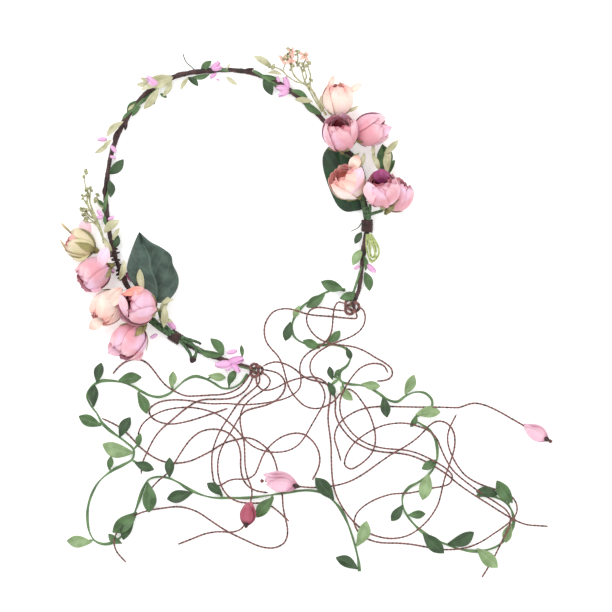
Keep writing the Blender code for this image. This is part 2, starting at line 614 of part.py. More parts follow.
def eased(need, steps, lowest):
    """A smooth line over the needed heights: wide low humps with gentle slopes."""
    spread = max(1, round(0.006 / steps))
    padded = np.pad(need, spread, mode="edge")
    wide = np.array([padded[i:i + 2 * spread + 1].max() for i in range(len(need))])
    index = np.arange(len(need))
    cone = (wide[None, :] - 0.30 * steps * np.abs(index[:, None] - index[None, :])).max(axis=1)
    cone = np.maximum(cone, lowest)
    padded = np.pad(cone, spread, mode="edge")
    kernel = np.ones(2 * spread + 1) / (2 * spread + 1)
    return np.maximum(np.convolve(padded, kernel, mode="valid"), need)


def route_of(name, ring):
    """A cord's flat route, which moves with the knot that its end of the ring carries."""
    anchor = RIGHT_KNOT if name in WITH_RIGHT_KNOT else LEFT_KNOT
    return ring.carried(CORD_ROUTES[name], anchor)


def lay_cords(ring):
    """Every cord's centreline, laid in order so that each passes over those below it."""
    laid, below, below_radii = {}, np.empty((0, 3)), np.empty(0)
    for name in CORD_ROUTES:
        diameter = VINE_DIAMETER if name in VINES else CORD_DIAMETER
        radius = diameter / 2
        route = route_of(name, ring)
        spacing = max(3 * diameter, 0.001 * len(smooth_route(route, 0.001)) / MOST_SEGMENTS)
        flat = smooth_route(route, spacing)
        lowest = radius + 0.0001
        path = np.column_stack([flat, np.full(len(flat), lowest)])
        step = np.linalg.norm(path[1] - path[0])
        for _ in range(6):
            points, owner = dense_points(path)
            over = need_over(points, radius, below, below_radii) if len(below) else np.zeros(len(points))
            run = np.arange(len(points))
            clear_of_self = (run[:, None] - run[None, :]) * 0.0006 > 5 * diameter
            own = need_over(points, radius, points, np.full(len(points), radius), clear_of_self)
            over = np.maximum(over, own)
            need = np.full(len(path), lowest)
            np.maximum.at(need, owner, over)
            np.maximum.at(need, owner + 1, over)
            if name in TIED_LEFT + TIED_RIGHT:
                need[0] = max(need[0], KNOT_HEIGHT)
            path[:, 2] = eased(need, step, lowest)
        laid[name] = path
        points, _ = dense_points(path)
        below = np.vstack([below, points])
        below_radii = np.concatenate([below_radii, np.full(len(points), radius)])
    return laid, below


def make_cords(ring):
    """The vines and cords, and the petals and beads that hang on them."""
    laid, points = lay_cords(ring)
    for name, path in laid.items():
        vine = name in VINES
        tube(name, path, VINE_DIAMETER if vine else CORD_DIAMETER, "leaf_green" if vine else "cord")
    for name, cord, centre, length, width, heading in CHARMS:
        middle = ring.carried(centre, RIGHT_KNOT if cord in WITH_RIGHT_KNOT else LEFT_KNOT)[0]
        near = points[np.linalg.norm(points[:, :2] - middle, axis=1) < length * MM / 2]
        height = near[:, 2].max() + CORD_DIAMETER / 2 + GAP + CHARM_HEIGHT / 2
        radii = (length * MM / 2, width * MM / 2, CHARM_HEIGHT / 2)
        ball(name, (*middle, height), radii, "petal_pink", heading)
    for name, cord in BEADS:
        end, before = laid[cord][-1], laid[cord][-2]
        away = (end - before) / np.linalg.norm(end - before)
        centre = end + away * (BEAD_RADIUS + 2 * GAP)
        centre[2] = max(centre[2], BEAD_RADIUS + 0.0001)
        ball(name, centre, (BEAD_RADIUS,) * 3, "cord", sides=8, rings=6)


def centre_on_origin():
    """Moves everything so that the crown without its loose cords is centred on the origin."""
    bpy.context.view_layer.update()
    loose = tuple(CORD_ROUTES) + tuple(row[0] for row in CHARMS) + tuple(row[0] for row in BEADS)
    objects = list(bpy.data.collections["flower_crown"].objects)
    corners = [
        obj.matrix_world @ Vector(corner)
        for obj in objects if obj.name not in loose
        for corner in obj.bound_box
    ]
    middle = [(min(c[i] for c in corners) + max(c[i] for c in corners)) / 2 for i in (0, 1)]
    for obj in objects:
        obj.location.x -= middle[0]
        obj.location.y -= middle[1]


def main():
    clear_scene()
    bpy.context.scene.collection.children.link(bpy.data.collections.new("flower_crown"))
    ring = Ring()
    make_band(ring)
    make_knots(ring)
    places = make_buds(ring)
    make_stems(ring, places)
    make_leaves(ring)
    make_greenery(ring)
    make_cords(ring)
    centre_on_origin()


if __name__ == "__main__":
    main()
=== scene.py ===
"""Flower crown: the looks built round the fixed frame.

An open ring of taped wire carries flower buds and leaves at both temples. Leafy vines and twisted
cords are tied on at its two ends and lie loose behind it. Lengths are metres and +Z is up.
"""

import logging
import math
from dataclasses import dataclass, field
from enum import Enum
from typing import Callable, Sequence

import bpy
import numpy as np
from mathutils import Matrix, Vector


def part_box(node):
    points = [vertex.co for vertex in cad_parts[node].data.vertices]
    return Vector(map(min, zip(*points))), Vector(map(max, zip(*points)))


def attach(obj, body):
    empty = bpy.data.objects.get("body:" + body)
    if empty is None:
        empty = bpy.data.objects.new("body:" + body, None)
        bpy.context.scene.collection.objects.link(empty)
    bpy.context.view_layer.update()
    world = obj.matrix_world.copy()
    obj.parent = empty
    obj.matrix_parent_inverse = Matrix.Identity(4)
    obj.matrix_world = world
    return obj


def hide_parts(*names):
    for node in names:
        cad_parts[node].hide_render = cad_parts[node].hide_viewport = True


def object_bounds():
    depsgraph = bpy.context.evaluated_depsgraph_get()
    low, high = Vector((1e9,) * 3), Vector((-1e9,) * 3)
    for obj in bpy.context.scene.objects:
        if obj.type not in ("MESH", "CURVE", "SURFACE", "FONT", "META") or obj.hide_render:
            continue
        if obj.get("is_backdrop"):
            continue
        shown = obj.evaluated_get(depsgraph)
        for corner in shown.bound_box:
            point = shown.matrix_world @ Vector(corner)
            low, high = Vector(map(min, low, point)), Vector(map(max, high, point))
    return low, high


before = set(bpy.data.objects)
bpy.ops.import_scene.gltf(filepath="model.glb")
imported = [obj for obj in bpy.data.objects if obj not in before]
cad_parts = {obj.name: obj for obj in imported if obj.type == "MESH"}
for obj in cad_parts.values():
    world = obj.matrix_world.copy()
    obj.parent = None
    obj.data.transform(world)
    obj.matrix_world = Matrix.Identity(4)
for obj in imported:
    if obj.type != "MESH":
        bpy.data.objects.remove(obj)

LOG = logging.getLogger("flower_crown")
CAD_BOX = [list(corner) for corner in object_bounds()]
MM = 0.001
Colour = tuple[float, float, float]
Points = np.ndarray

LEFT_KNOT = (14.0, -103.5)
RIGHT_KNOT = (77.5, -61.3)
LEFT_WRAP = (-40, -81.3)
RIGHT_WRAP = (88.3, -7.3)
KNOT_CENTRE = (np.array(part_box("knot_left")[0]) + np.array(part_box("knot_left")[1])) / 2
SHIFT = KNOT_CENTRE[:2] - np.array(LEFT_KNOT) * MM
BAND_Z = float(sum(corner[2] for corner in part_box("core_wire")) / 2)
FLOOR_Z = -0.0002


def placed(drawn: Sequence) -> Points:
    """Moves flat places from the drawing onto the frame.

    Args:
        drawn: one place or a list of places, in millimetres.

    Returns:
        Rows of x and y in metres.
    """
    return np.atleast_2d(np.array(drawn, float)) * MM + SHIFT


def noise_of(seed: int) -> np.random.Generator:
    """A fixed source of small variations."""
    return np.random.default_rng(seed)


def smooth_route(points: Sequence, spacing: float) -> Points:
    """Reads equal steps from a Catmull-Rom curve.

    Args:
        points: the route's points, flat or in space.
        spacing: the length of a step.

    Returns:
        Points at equal steps, with the route's first and last among them.
    """
    route = np.asarray(points, float)
    ends = np.vstack([2 * route[0] - route[1], route, 2 * route[-1] - route[-2]])
    steps = np.linspace(0, 1, 16, endpoint=False)[:, None]
    dense = []
    for before, start, end, after in zip(ends, ends[1:], ends[2:], ends[3:]):
        dense.append(
            0.5 * (2 * start + (end - before) * steps
                   + (2 * before - 5 * start + 4 * end - after) * steps**2
                   + (3 * start - before - 3 * end + after) * steps**3)
        )
    dense = np.vstack(dense + [route[-1:]])
    lengths = np.concatenate([[0], np.cumsum(np.linalg.norm(np.diff(dense, axis=0), axis=1))])
    count = max(2, round(lengths[-1] / spacing) + 1)
    wanted = np.linspace(0, lengths[-1], count)
    return np.column_stack([np.interp(wanted, lengths, dense[:, i]) for i in range(dense.shape[1])])


# ---------------------------------------------------------------------------------------------
# Finishes
# ---------------------------------------------------------------------------------------------


class NodeKit:
    """Builds one material's nodes."""

    def __init__(self, name: str) -> None:
        """Starts a material that holds a Principled BSDF and its output."""
        self.material = bpy.data.materials.new(name)
        self.material.use_nodes = True
        self.tree = self.material.node_tree
        self.shader = self.tree.nodes["Principled BSDF"]

    def node(self, kind: str, **settings: object) -> bpy.types.Node:
        """Adds a node.

        Args:
            kind: the node's type.
            settings: its properties.

        Returns:
            The new node.
        """
        made = self.tree.nodes.new(kind)
        for name, value in settings.items():
            setattr(made, name, value)
        return made

    def wire(self, socket: object, target: bpy.types.NodeSocket) -> None:
        """Links a socket to a target, or sets the target to a plain value."""
        if isinstance(socket, bpy.types.NodeSocket):
            self.tree.links.new(socket, target)
        else:
            target.default_value = socket

    def place(self, kind: str = "Object") -> bpy.types.NodeSocket:
        """The Object or UV coordinates."""
        return self.node("ShaderNodeTexCoord").outputs[kind]

    def maths(self, operation: str, first: object, second: object = 0.0) -> bpy.types.NodeSocket:
        """One step of arithmetic on numbers or sockets."""
        made = self.node("ShaderNodeMath", operation=operation)
        self.wire(first, made.inputs[0])
        self.wire(second, made.inputs[1])
        return made.outputs[0]

    def across_and_along(self) -> tuple[bpy.types.NodeSocket, bpy.types.NodeSocket]:
        """The two parts of the piece's UV map: across it, then along it."""
        split = self.node("ShaderNodeSeparateXYZ")
        self.wire(self.place("UV"), split.inputs[0])
        return split.outputs[0], split.outputs[1]

    def noise(
        self, scale: float, detail: float = 3.0, stretch: Sequence[float] = (1, 1, 1), on: str = "Object"
    ) -> bpy.types.NodeSocket:
        """Soft random values.

        Args:
            scale: how fine the pattern is.
            detail: how many finer layers it has.
            stretch: how much finer it is along each axis.
            on: the coordinates that it follows.

        Returns:
            A value from 0 to 1.
        """
        mapping = self.node("ShaderNodeMapping")
        self.wire(self.place(on), mapping.inputs["Vector"])
        mapping.inputs["Scale"].default_value = tuple(stretch)
        made = self.node("ShaderNodeTexNoise")
        self.wire(mapping.outputs[0], made.inputs["Vector"])
        made.inputs["Scale"].default_value = scale
        made.inputs["Detail"].default_value = detail
        return made.outputs["Fac"]

    def ramp(self, value: object, stops: Sequence[tuple[float, Colour]]) -> bpy.types.NodeSocket:
        """Turns a value into a colour through the given stops.

        Args:
            value: the value's socket.
            stops: the position and colour of each stop.

        Returns:
            The colour's socket.
        """
        made = self.node("ShaderNodeValToRGB")
        elements = made.color_ramp.elements
        for index, (position, colour) in enumerate(stops):
            element = elements[index] if index < 2 else elements.new(position)
            element.position = position
            element.color = (*colour, 1)
        self.wire(value, made.inputs[0])
        return made.outputs[0]

    def mix(self, share: object, first: object, second: object, blend: str = "MIX") -> bpy.types.NodeSocket:
        """Mixes two colours.

        Args:
            share: how much of the second one, as a number or a socket.
            first: the first colour.
            second: the second colour.
            blend: the way they mix.

        Returns:
            The mixed colour's socket.
        """
        made = self.node("ShaderNodeMix", data_type="RGBA", blend_type=blend)
        self.wire(share, made.inputs[0])
        for value, socket in ((first, made.inputs[6]), (second, made.inputs[7])):
            plain = not isinstance(value, bpy.types.NodeSocket)
            self.wire((*value, 1) if plain else value, socket)
        return made.outputs[2]

    def between(self, value: object, low: float, high: float, to: Sequence[float]) -> bpy.types.NodeSocket:
        """Carries a value from one range to another and holds it there.

        Args:
            value: the value's socket.
            low: where the range starts.
            high: where it ends.
            to: the two ends of the new range.

        Returns:
            The new value's socket.
        """
        made = self.node("ShaderNodeMapRange")
        self.wire(value, made.inputs[0])
        for index, number in enumerate((low, high, *to)):
            made.inputs[index + 1].default_value = number
        return made.outputs[0]

    def finish(
        self, colour: object, roughness: object, height: object = None, bump: float = 0.3,
        depth: float = 0.0003
    ) -> bpy.types.Material:
        """Connects the pattern to the shader.

        Args:
            colour: the surface's colour.
            roughness: its roughness.
            height: the relief, if there is one.
            bump: how strong the relief is.
            depth: how deep it is.

        Returns:
            The finished material.
        """
        self.wire(colour, self.shader.inputs["Base Color"])
        self.wire(roughness, self.shader.inputs["Roughness"])
        if height is not None:
            made = self.node("ShaderNodeBump")
            made.inputs["Strength"].default_value = bump
            made.inputs["Distance"].default_value = depth
            self.wire(height, made.inputs["Height"])
            self.wire(made.outputs[0], self.shader.inputs["Normal"])
        return self.material


@dataclass(frozen=True)
class PetalFinish:
    """Silky petal cloth with fine veins along it, painted shade that darkens it towards its base, a painted
    sheen highlight in random patches, and rims that are partly their own deep rose and partly painted shadow
    between petals.
    """

    name: str
    # base: painted shade, the colour that each petal darkens to at its foot inside the bud.
    base: Colour
    middle: Colour
    tip: Colour
    # blush: a painted sheen highlight, laid over the petal in random patches.
    blush: Colour
    sheen_highlight_share: float = 0.55
    # How dark the rims are: partly the petals' own deep rose edges, partly painted shadow in the gaps between
    # petals.
    rim_and_gap_shade: float = 0.5

    def make(self) -> bpy.types.Material:
        """Builds the material."""
        kit = NodeKit(self.name)
        across, along = kit.across_and_along()
        wander = kit.maths("MULTIPLY", kit.maths("SUBTRACT", kit.noise(90, 2), 0.5), 0.45)
        run = kit.maths("ADD", along, wander)
        # Painted shade: the ramp darkens each petal from its middle colour to the base colour at its foot.
        shaded = kit.ramp(run, [(0.0, self.base), (0.22, self.middle), (0.72, self.middle), (1.0, self.tip)])
        # Painted sheen highlight: random patches of the blush colour stand in for the satin's highlights.
        sheen_highlight_patch = kit.between(kit.noise(70, 1.5), 0.48, 0.70, (0, self.sheen_highlight_share))
        with_sheen_highlight = kit.mix(sheen_highlight_patch, shaded, self.blush)
        fibres = kit.noise(9, 4, (9, 0.9, 1), "UV")
        veined = kit.mix(
            kit.between(fibres, 0.35, 0.7, (0.0, 0.22)), with_sheen_highlight, tuple(c * 0.62 for c in self.middle)
        )
        side = kit.maths("ABSOLUTE", kit.maths("SUBTRACT", across, 0.5))
        sides, tip = kit.between(side, 0.44, 0.5, (0, 1)), kit.between(along, 0.93, 1, (0, 1))
        edge = kit.maths("MAXIMUM", sides, tip)
        # Dark rims in the base colour: partly the petals' own deep rose edges, partly painted shadow between
        # petals; with no rim darkening, the rim takes the tip colour instead.
        rim_colour_and_gap_shade = self.base if self.rim_and_gap_shade > 0 else self.tip
        coloured = kit.mix(kit.maths("MULTIPLY", edge, max(self.rim_and_gap_shade, 0.35)), veined, rim_colour_and_gap_shade)
        height = kit.maths("ADD", kit.maths("MULTIPLY", fibres, 0.6), kit.noise(1800, 2))
        kit.shader.inputs["Sheen Weight"].default_value = 0.25
        kit.shader.inputs["Sheen Roughness"].default_value = 0.4
        kit.shader.inputs["Subsurface Weight"].default_value = 0.12
        kit.shader.inputs["Subsurface Radius"].default_value = (0.002, 0.0008, 0.0006)
        return kit.finish(coloured, kit.between(fibres, 0.3, 0.8, (0.42, 0.58)), height, 0.25, 0.0002)


@dataclass(frozen=True)
class LeafFinish:
    """Pressed leaf cloth: a pale midrib, side veins that sweep forward, and a soft sheen."""

    name: str
    dark: Colour
    light: Colour
    vein: Colour
    veins: float = 7.0
    roughness: float = 0.42

    def make(self) -> bpy.types.Material:
        """Builds the material."""
        kit = NodeKit(self.name)
        across, along = kit.across_and_along()
        side = kit.maths("ABSOLUTE", kit.maths("SUBTRACT", across, 0.5))
        swept = kit.maths("SUBTRACT", kit.maths("MULTIPLY", along, self.veins), kit.maths("MULTIPLY", side, 4))
        wave = kit.maths("ABSOLUTE", kit.maths("SUBTRACT", kit.maths("FRACT", swept), 0.5))
        side_vein = kit.between(wave, 0.0, 0.09, (1, 0))
        midrib = kit.between(side, 0.0, 0.035, (1, 0))
        lines = kit.maths("MAXIMUM", kit.maths("MULTIPLY", side_vein, 0.45), midrib)
        mottle = kit.noise(140, 3)
        body = kit.mix(kit.between(mottle, 0.35, 0.68, (0, 1)), self.dark, self.light)
        tinted = kit.mix(kit.maths("MULTIPLY", lines, 0.55), body, self.vein)
        crepe = kit.noise(1500, 3)
        height = kit.maths("ADD", kit.maths("MULTIPLY", crepe, 0.5), kit.maths("MULTIPLY", lines, -0.8))
        kit.shader.inputs["Sheen Weight"].default_value = 0.12
        rough = kit.between(mottle, 0.3, 0.7, (self.roughness, self.roughness + 0.14))
        return kit.finish(tinted, rough, height, 0.4, 0.0003)


@dataclass(frozen=True)
class TwineFinish:
    """Two twisted strands of different colours, with loose fibres."""

    name: str
    light: Colour
    dark: Colour

    def make(self) -> bpy.types.Material:
        """Builds the material."""
        kit = NodeKit(self.name)
        across, _ = kit.across_and_along()
        strand = kit.between(across, 0.55, 0.62, (0, 1))
        fibres = kit.noise(2600, 3)
        pale = tuple(c * 1.5 for c in self.light)
        light = kit.mix(kit.between(fibres, 0.3, 0.7, (0, 0.6)), self.light, pale)
        lit = tuple(c * 2.2 for c in self.dark)
        dark = kit.mix(kit.between(fibres, 0.3, 0.7, (0, 0.6)), self.dark, lit)
        patches = kit.between(kit.noise(180, 2), 0.40, 0.62, (0.15, 1))
        coloured = kit.mix(kit.maths("MULTIPLY", strand, patches), light, dark)
        kit.shader.inputs["Sheen Weight"].default_value = 0.2
        return kit.finish(coloured, kit.between(fibres, 0.3, 0.7, (0.65, 0.85)), fibres, 0.5, 0.0002)


@dataclass(frozen=True)
class TapeFinish:
    """Stretched paper tape: fine creases across it, with painted highlights along their ridges, and a waxy skin.
    """

    name: str
    dark: Colour
    light: Colour
    ridges: float = 26.0

    def make(self) -> bpy.types.Material:
        """Builds the material."""
        kit = NodeKit(self.name)
        creases = kit.noise(self.ridges, 4, (0.5, 6, 1), "UV")
        blotch = kit.noise(260, 3)
        body = kit.mix(kit.between(blotch, 0.35, 0.7, (0, 1)), self.dark, self.light)
        # Painted highlight: the crease ridges are made lighter, as if lit.
        crease_highlight = tuple(min(1, c * 1.9) for c in self.light)
        with_crease_highlight = kit.mix(kit.between(creases, 0.55, 0.8, (0, 0.5)), body, crease_highlight)
        height = kit.maths("ADD", creases, kit.maths("MULTIPLY", kit.noise(1400, 3), 0.5))
        return kit.finish(with_crease_highlight, kit.between(blotch, 0.3, 0.7, (0.5, 0.72)), height, 0.6, 0.0004)


@dataclass(frozen=True)
class StemFinish:
    """Moulded stem plastic, streaked along its length."""

    name: str
    dark: Colour
    light: Colour

    def make(self) -> bpy.types.Material:
        """Builds the material."""
        kit = NodeKit(self.name)
        streaks = kit.noise(600, 3, (1, 1, 0.4))
        body = kit.mix(kit.between(streaks, 0.35, 0.68, (0, 1)), self.dark, self.light)
        return kit.finish(body, kit.between(streaks, 0.3, 0.7, (0.38, 0.6)), streaks, 0.35, 0.0002)


def srgb(code: str) -> Colour:
    """A linear colour from a hexadecimal display colour."""
    values = [int(code[i:i + 2], 16) / 255 for i in (0, 2, 4)]
    red, green, blue = (v / 12.92 if v <= 0.04045 else ((v + 0.055) / 1.055) ** 2.4 for v in values)
    return red, green, blue


def petal_finish(name: str, shades: str, *more: float) -> bpy.types.Material:
    """A petal's material.

    Args:
        name: its name.
        shades: its base, which is painted shade at the petal's foot, its middle, its tip and its painted sheen
            highlight, as hex codes.
        more: how much of it carries the painted sheen highlight, and how dark its rim is, partly its own deep
            rose and partly painted shadow between petals.

    Returns:
        The material.
    """
    return PetalFinish(name, *map(srgb, shades.split()), *more).make()


def leaf_finish(name: str, shades: str, *more: float) -> bpy.types.Material:
    """A leaf's material.

    Args:
        name: its name.
        shades: its dark side, its light side and its veins, as hex codes.
        more: the number of its veins, and its roughness.

    Returns:
        The material.
    """
    return LeafFinish(name, *map(srgb, shades.split()), *more).make()


class Finishes:
    """Every finish of the crown, made once."""

    def __init__(self) -> None:
        """Builds all the materials."""
        # In each petal finish the first, darker colour is painted shade towards the petal's foot, and the fourth
        # is its painted sheen highlight.
        self.pink = petal_finish("petal_pink", "A8445A E3A0AC F5CBD2 F1CFEA", 0.85)
        self.rose = petal_finish("petal_rose", "8A2440 D77F91 EFA9B6 F1CFEA", 0.4)
        self.deep = petal_finish("petal_deep", "5E1020 9C2A40 D8707F F1CFEA", 0.1)
        self.blush = petal_finish("petal_blush", "DE93A3 F3C6CE F8DCE0 F0D6EC", 0.8, 0.3)
        self.cream = petal_finish("petal_cream", "E9C6AC F8E2D4 F3B9AE FBEDEA", 0.7, 0.0)
        self.coral = petal_finish("petal_coral", "D9706A F4A596 F6B9B9 EBB0D4", 0.5)
        self.olive = petal_finish("petal_olive", "857B42 D6CA9C EFDDC6 F4DDD0", 0.7)
        self.magenta = petal_finish("petal_magenta", "6E1844 97346F AE4C82 7E2854", 0.4)
        self.pip = petal_finish("pip_lilac", "B85A98 E9B2DC F4CDEE DC8CC8", 0.45)
        self.charm = petal_finish("charm_petal", "C77E9A EFC3D3 F8DDE8 E7BFDF", 0.5, 0.3)
        self.charm_rose = petal_finish("charm_petal_rose", "5E1E2E B4596E DB8A99 CF7F98", 0.5)
        self.leaf_left = leaf_finish("leaf_grey_green", "24382E 465C50 61776B", 6, 0.36)
        self.leaf_right = leaf_finish("leaf_bottle_green", "0B2812 1B4825 33603A", 7, 0.42)
        self.leaf = leaf_finish("leaf_green", "3A582E 5A7D4C 789865")
        self.leaf_dark = leaf_finish("leaf_dark", "233A1F 3D5A36 57744B")
        self.leaf_light = leaf_finish("leaf_light", "708A58 96B07E AEC39A")
        self.leaf_pale = leaf_finish("leaf_pale", "A8A67C D2CFB0 E4E0C8", 8, 0.5)
        self.sepal = leaf_finish("sepal_olive", "77703A ACA468 C7BF8A", 5, 0.5)
        self.twine = TwineFinish("cord_twine", srgb("744842"), srgb("1E1216")).make()
        self.vine = leaf_finish("vine_ribbon", "42633A 6B8C58 84A26E", 60, 0.5)
        self.tape = TapeFinish("tape_brown", srgb("231414"), srgb("5A3C3C")).make()
        self.binding = TapeFinish("tape_binding", srgb("241312"), srgb("4C302D"), 10).make()
        self.wire = StemFinish("wire_green", srgb("2A3A24"), srgb("4E6440")).make()
        self.stem = StemFinish("stem_green", srgb("24391F"), srgb("52744A")).make()
        self.stem_pale = StemFinish("stem_yellow_green", srgb("8B9C50"), srgb("C6D292")).make()
        self.sprig = StemFinish("sprig_pale", srgb("8E9068"), srgb("C4C29A")).make()
        self.calyx = StemFinish("calyx_olive", srgb("6B6434"), srgb("9A9358")).make()
        self.peach = petal_finish("petal_peach", "C98A76 EBBBAB F4D3C8 F6DDD4", 0.5)


# ---------------------------------------------------------------------------------------------
# Mesh making
# ---------------------------------------------------------------------------------------------


def settled(obj: bpy.types.Object) -> bpy.types.Object:
    """Turns a piece with modifiers into a plain, smooth mesh.

    Args:
        obj: the piece.

    Returns:
        The same object, with its modifiers gone.
    """
    bpy.context.view_layer.update()
    graph = bpy.context.evaluated_depsgraph_get()
    made = bpy.data.meshes.new_from_object(
        obj.evaluated_get(graph), preserve_all_data_layers=True, depsgraph=graph
    )
    old = obj.data
    obj.modifiers.clear()
    obj.data = made
    bpy.data.meshes.remove(old)
    made.name = obj.name
    made.polygons.foreach_set("use_smooth", np.ones(len(made.polygons), bool))
    return obj


def linked(name: str, mesh: bpy.types.Mesh, finish: bpy.types.Material) -> bpy.types.Object:
    """Makes an object of a mesh, with one finish."""
    obj = bpy.data.objects.new(name, mesh)
    mesh.materials.append(finish)
    bpy.context.scene.collection.objects.link(obj)
    return obj


def declared(obj: bpy.types.Object, slot: str, *nodes: str) -> bpy.types.Object:
    """Hangs a piece on the frame's root and hides the frame's nodes that it stands for.

    Args:
        obj: the piece.
        slot: the record's material slot; not used.
        nodes: the CAD nodes that it stands for.

    Returns:
        The piece.
    """
    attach(obj, "root")
    if nodes:
        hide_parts(*nodes)
    LOG.info("%s: %d faces", obj.name, len(obj.data.polygons))
    return obj


@dataclass
class SheetSet:
    """Thin curved sheets that become one mesh, such as a bud's petals."""

    name: str
    finish: bpy.types.Material
    wall: float = 0.0003
    rows: int = 10
    columns: int = 8
    smoothing: int = 1
    points: list[Points] = field(default_factory=list)

    def add(self, surface: Callable[[Points, Points], Points]) -> None:
        """Adds a sheet.

        Args:
            surface: gives a place in space for each pair of values from 0 to 1, across and along.
        """
        across, along = np.meshgrid(np.linspace(0, 1, self.columns + 1), np.linspace(0, 1, self.rows + 1))
        self.points.append(surface(across, along).reshape(-1, 3))

    def build(self) -> bpy.types.Object:
        """Joins the sheets, gives them a wall and smooths them."""
        wide, tall = self.columns + 1, self.rows + 1
        corner = np.arange(self.rows)[:, None] * wide + np.arange(self.columns)[None, :]
        quads = np.stack([corner, corner + 1, corner + wide + 1, corner + wide], axis=-1).reshape(-1, 4)
        count = len(self.points)
        faces = (quads[None] + (np.arange(count) * wide * tall)[:, None, None]).reshape(-1, 4)
        mesh = bpy.data.meshes.new(self.name)
        mesh.from_pydata(np.vstack(self.points).tolist(), [], faces.tolist())
        uv = mesh.uv_layers.new(name="UVMap")
        inside = faces % (wide * tall)
        values = np.stack([inside % wide / self.columns, inside // wide / self.rows], axis=-1)
        uv.data.foreach_set("uv", values.astype(np.float32).ravel())
        obj = linked(self.name, mesh, self.finish)
        solid = obj.modifiers.new("Wall", "SOLIDIFY")
        solid.thickness = self.wall
        solid.offset = 0
        if self.smoothing:
            smooth = obj.modifiers.new("Smooth", "SUBSURF")
            smooth.levels = smooth.render_levels = self.smoothing
        return settled(obj)


@dataclass(frozen=True)
class Profile:
    """The outline of a wound cord or tape, which turns as it runs."""

    sides: int
    pitch: float
    flat: float = 1.0
    lobes: int = 0
    depth: float = 0.0
    overlap: float = 0.0

    def radii(self, angles: Points) -> Points:
        """The share of the full radius at each angle of the outline."""
        oval = self.flat / np.sqrt((self.flat * np.cos(angles)) ** 2 + np.sin(angles) ** 2)
        lobed = 1 - self.depth * (1 - np.abs(np.cos(self.lobes * angles / 2)))
        return oval * lobed * (1 - self.overlap * angles / (2 * math.pi))


def wound_tube(
    name: str, path: Points, radius: float | Points, profile: Profile, finish: bpy.types.Material
) -> bpy.types.Object:
    """A closed tube whose outline turns as it follows a path.

    Args:
        name: the piece's name.
        path: close points along its middle.
        radius: its radius, which may change along the path.
        profile: its outline.
        finish: its material.

    Returns:
        The tube, mapped with its outline across and its length along.
    """
    count, sides = len(path), profile.sides
    tangent = np.gradient(path, axis=0)
    tangent /= np.linalg.norm(tangent, axis=1)[:, None]
    side = np.cross((0, 0, 1), tangent)
    side /= np.linalg.norm(side, axis=1)[:, None]
    up = np.cross(tangent, side)
    run = np.concatenate([[0], np.cumsum(np.linalg.norm(np.diff(path, axis=0), axis=1))])
    angles = np.linspace(0, 2 * math.pi, sides, endpoint=False)
    reach = np.broadcast_to(radius, count)[:, None] * profile.radii(angles)[None, :]
    turned = angles[None, :] - 2 * math.pi * run[:, None] / profile.pitch
    points = (
        path[:, None]
        + side[:, None] * (np.cos(turned) * reach)[..., None]
        + up[:, None] * (np.sin(turned) * reach)[..., None]
    )
    ring, step = np.arange(count - 1)[:, None] * sides, np.arange(sides)[None, :]
    after = (step + 1) % sides
    corners = (ring + step, ring + after, ring + sides + after, ring + sides + step)
    quads = np.stack(corners, -1).reshape(-1, 4)
    last = (count - 1) * sides
    faces = quads.tolist() + [list(range(sides))[::-1], list(range(last, last + sides))]
    mesh = bpy.data.meshes.new(name)
    mesh.from_pydata(points.reshape(-1, 3).tolist(), [], faces)
    low, high = (np.broadcast_to((step + more) / sides, (count - 1, sides)) for more in (0, 1))
    near, far = (np.broadcast_to(run[a:b, None] * 100, (count - 1, sides)) for a, b in ((0, -1), (1, None)))
    wall = np.stack([low, near, high, near, high, far, low, far], -1).reshape(-1)
    caps = np.full(4 * sides, 0.5)
    uv = mesh.uv_layers.new(name="UVMap")
    uv.data.foreach_set("uv", np.concatenate([wall, caps]).astype(np.float32))
    mesh.polygons.foreach_set("use_smooth", np.ones(len(mesh.polygons), bool))
    return linked(name, mesh, finish)


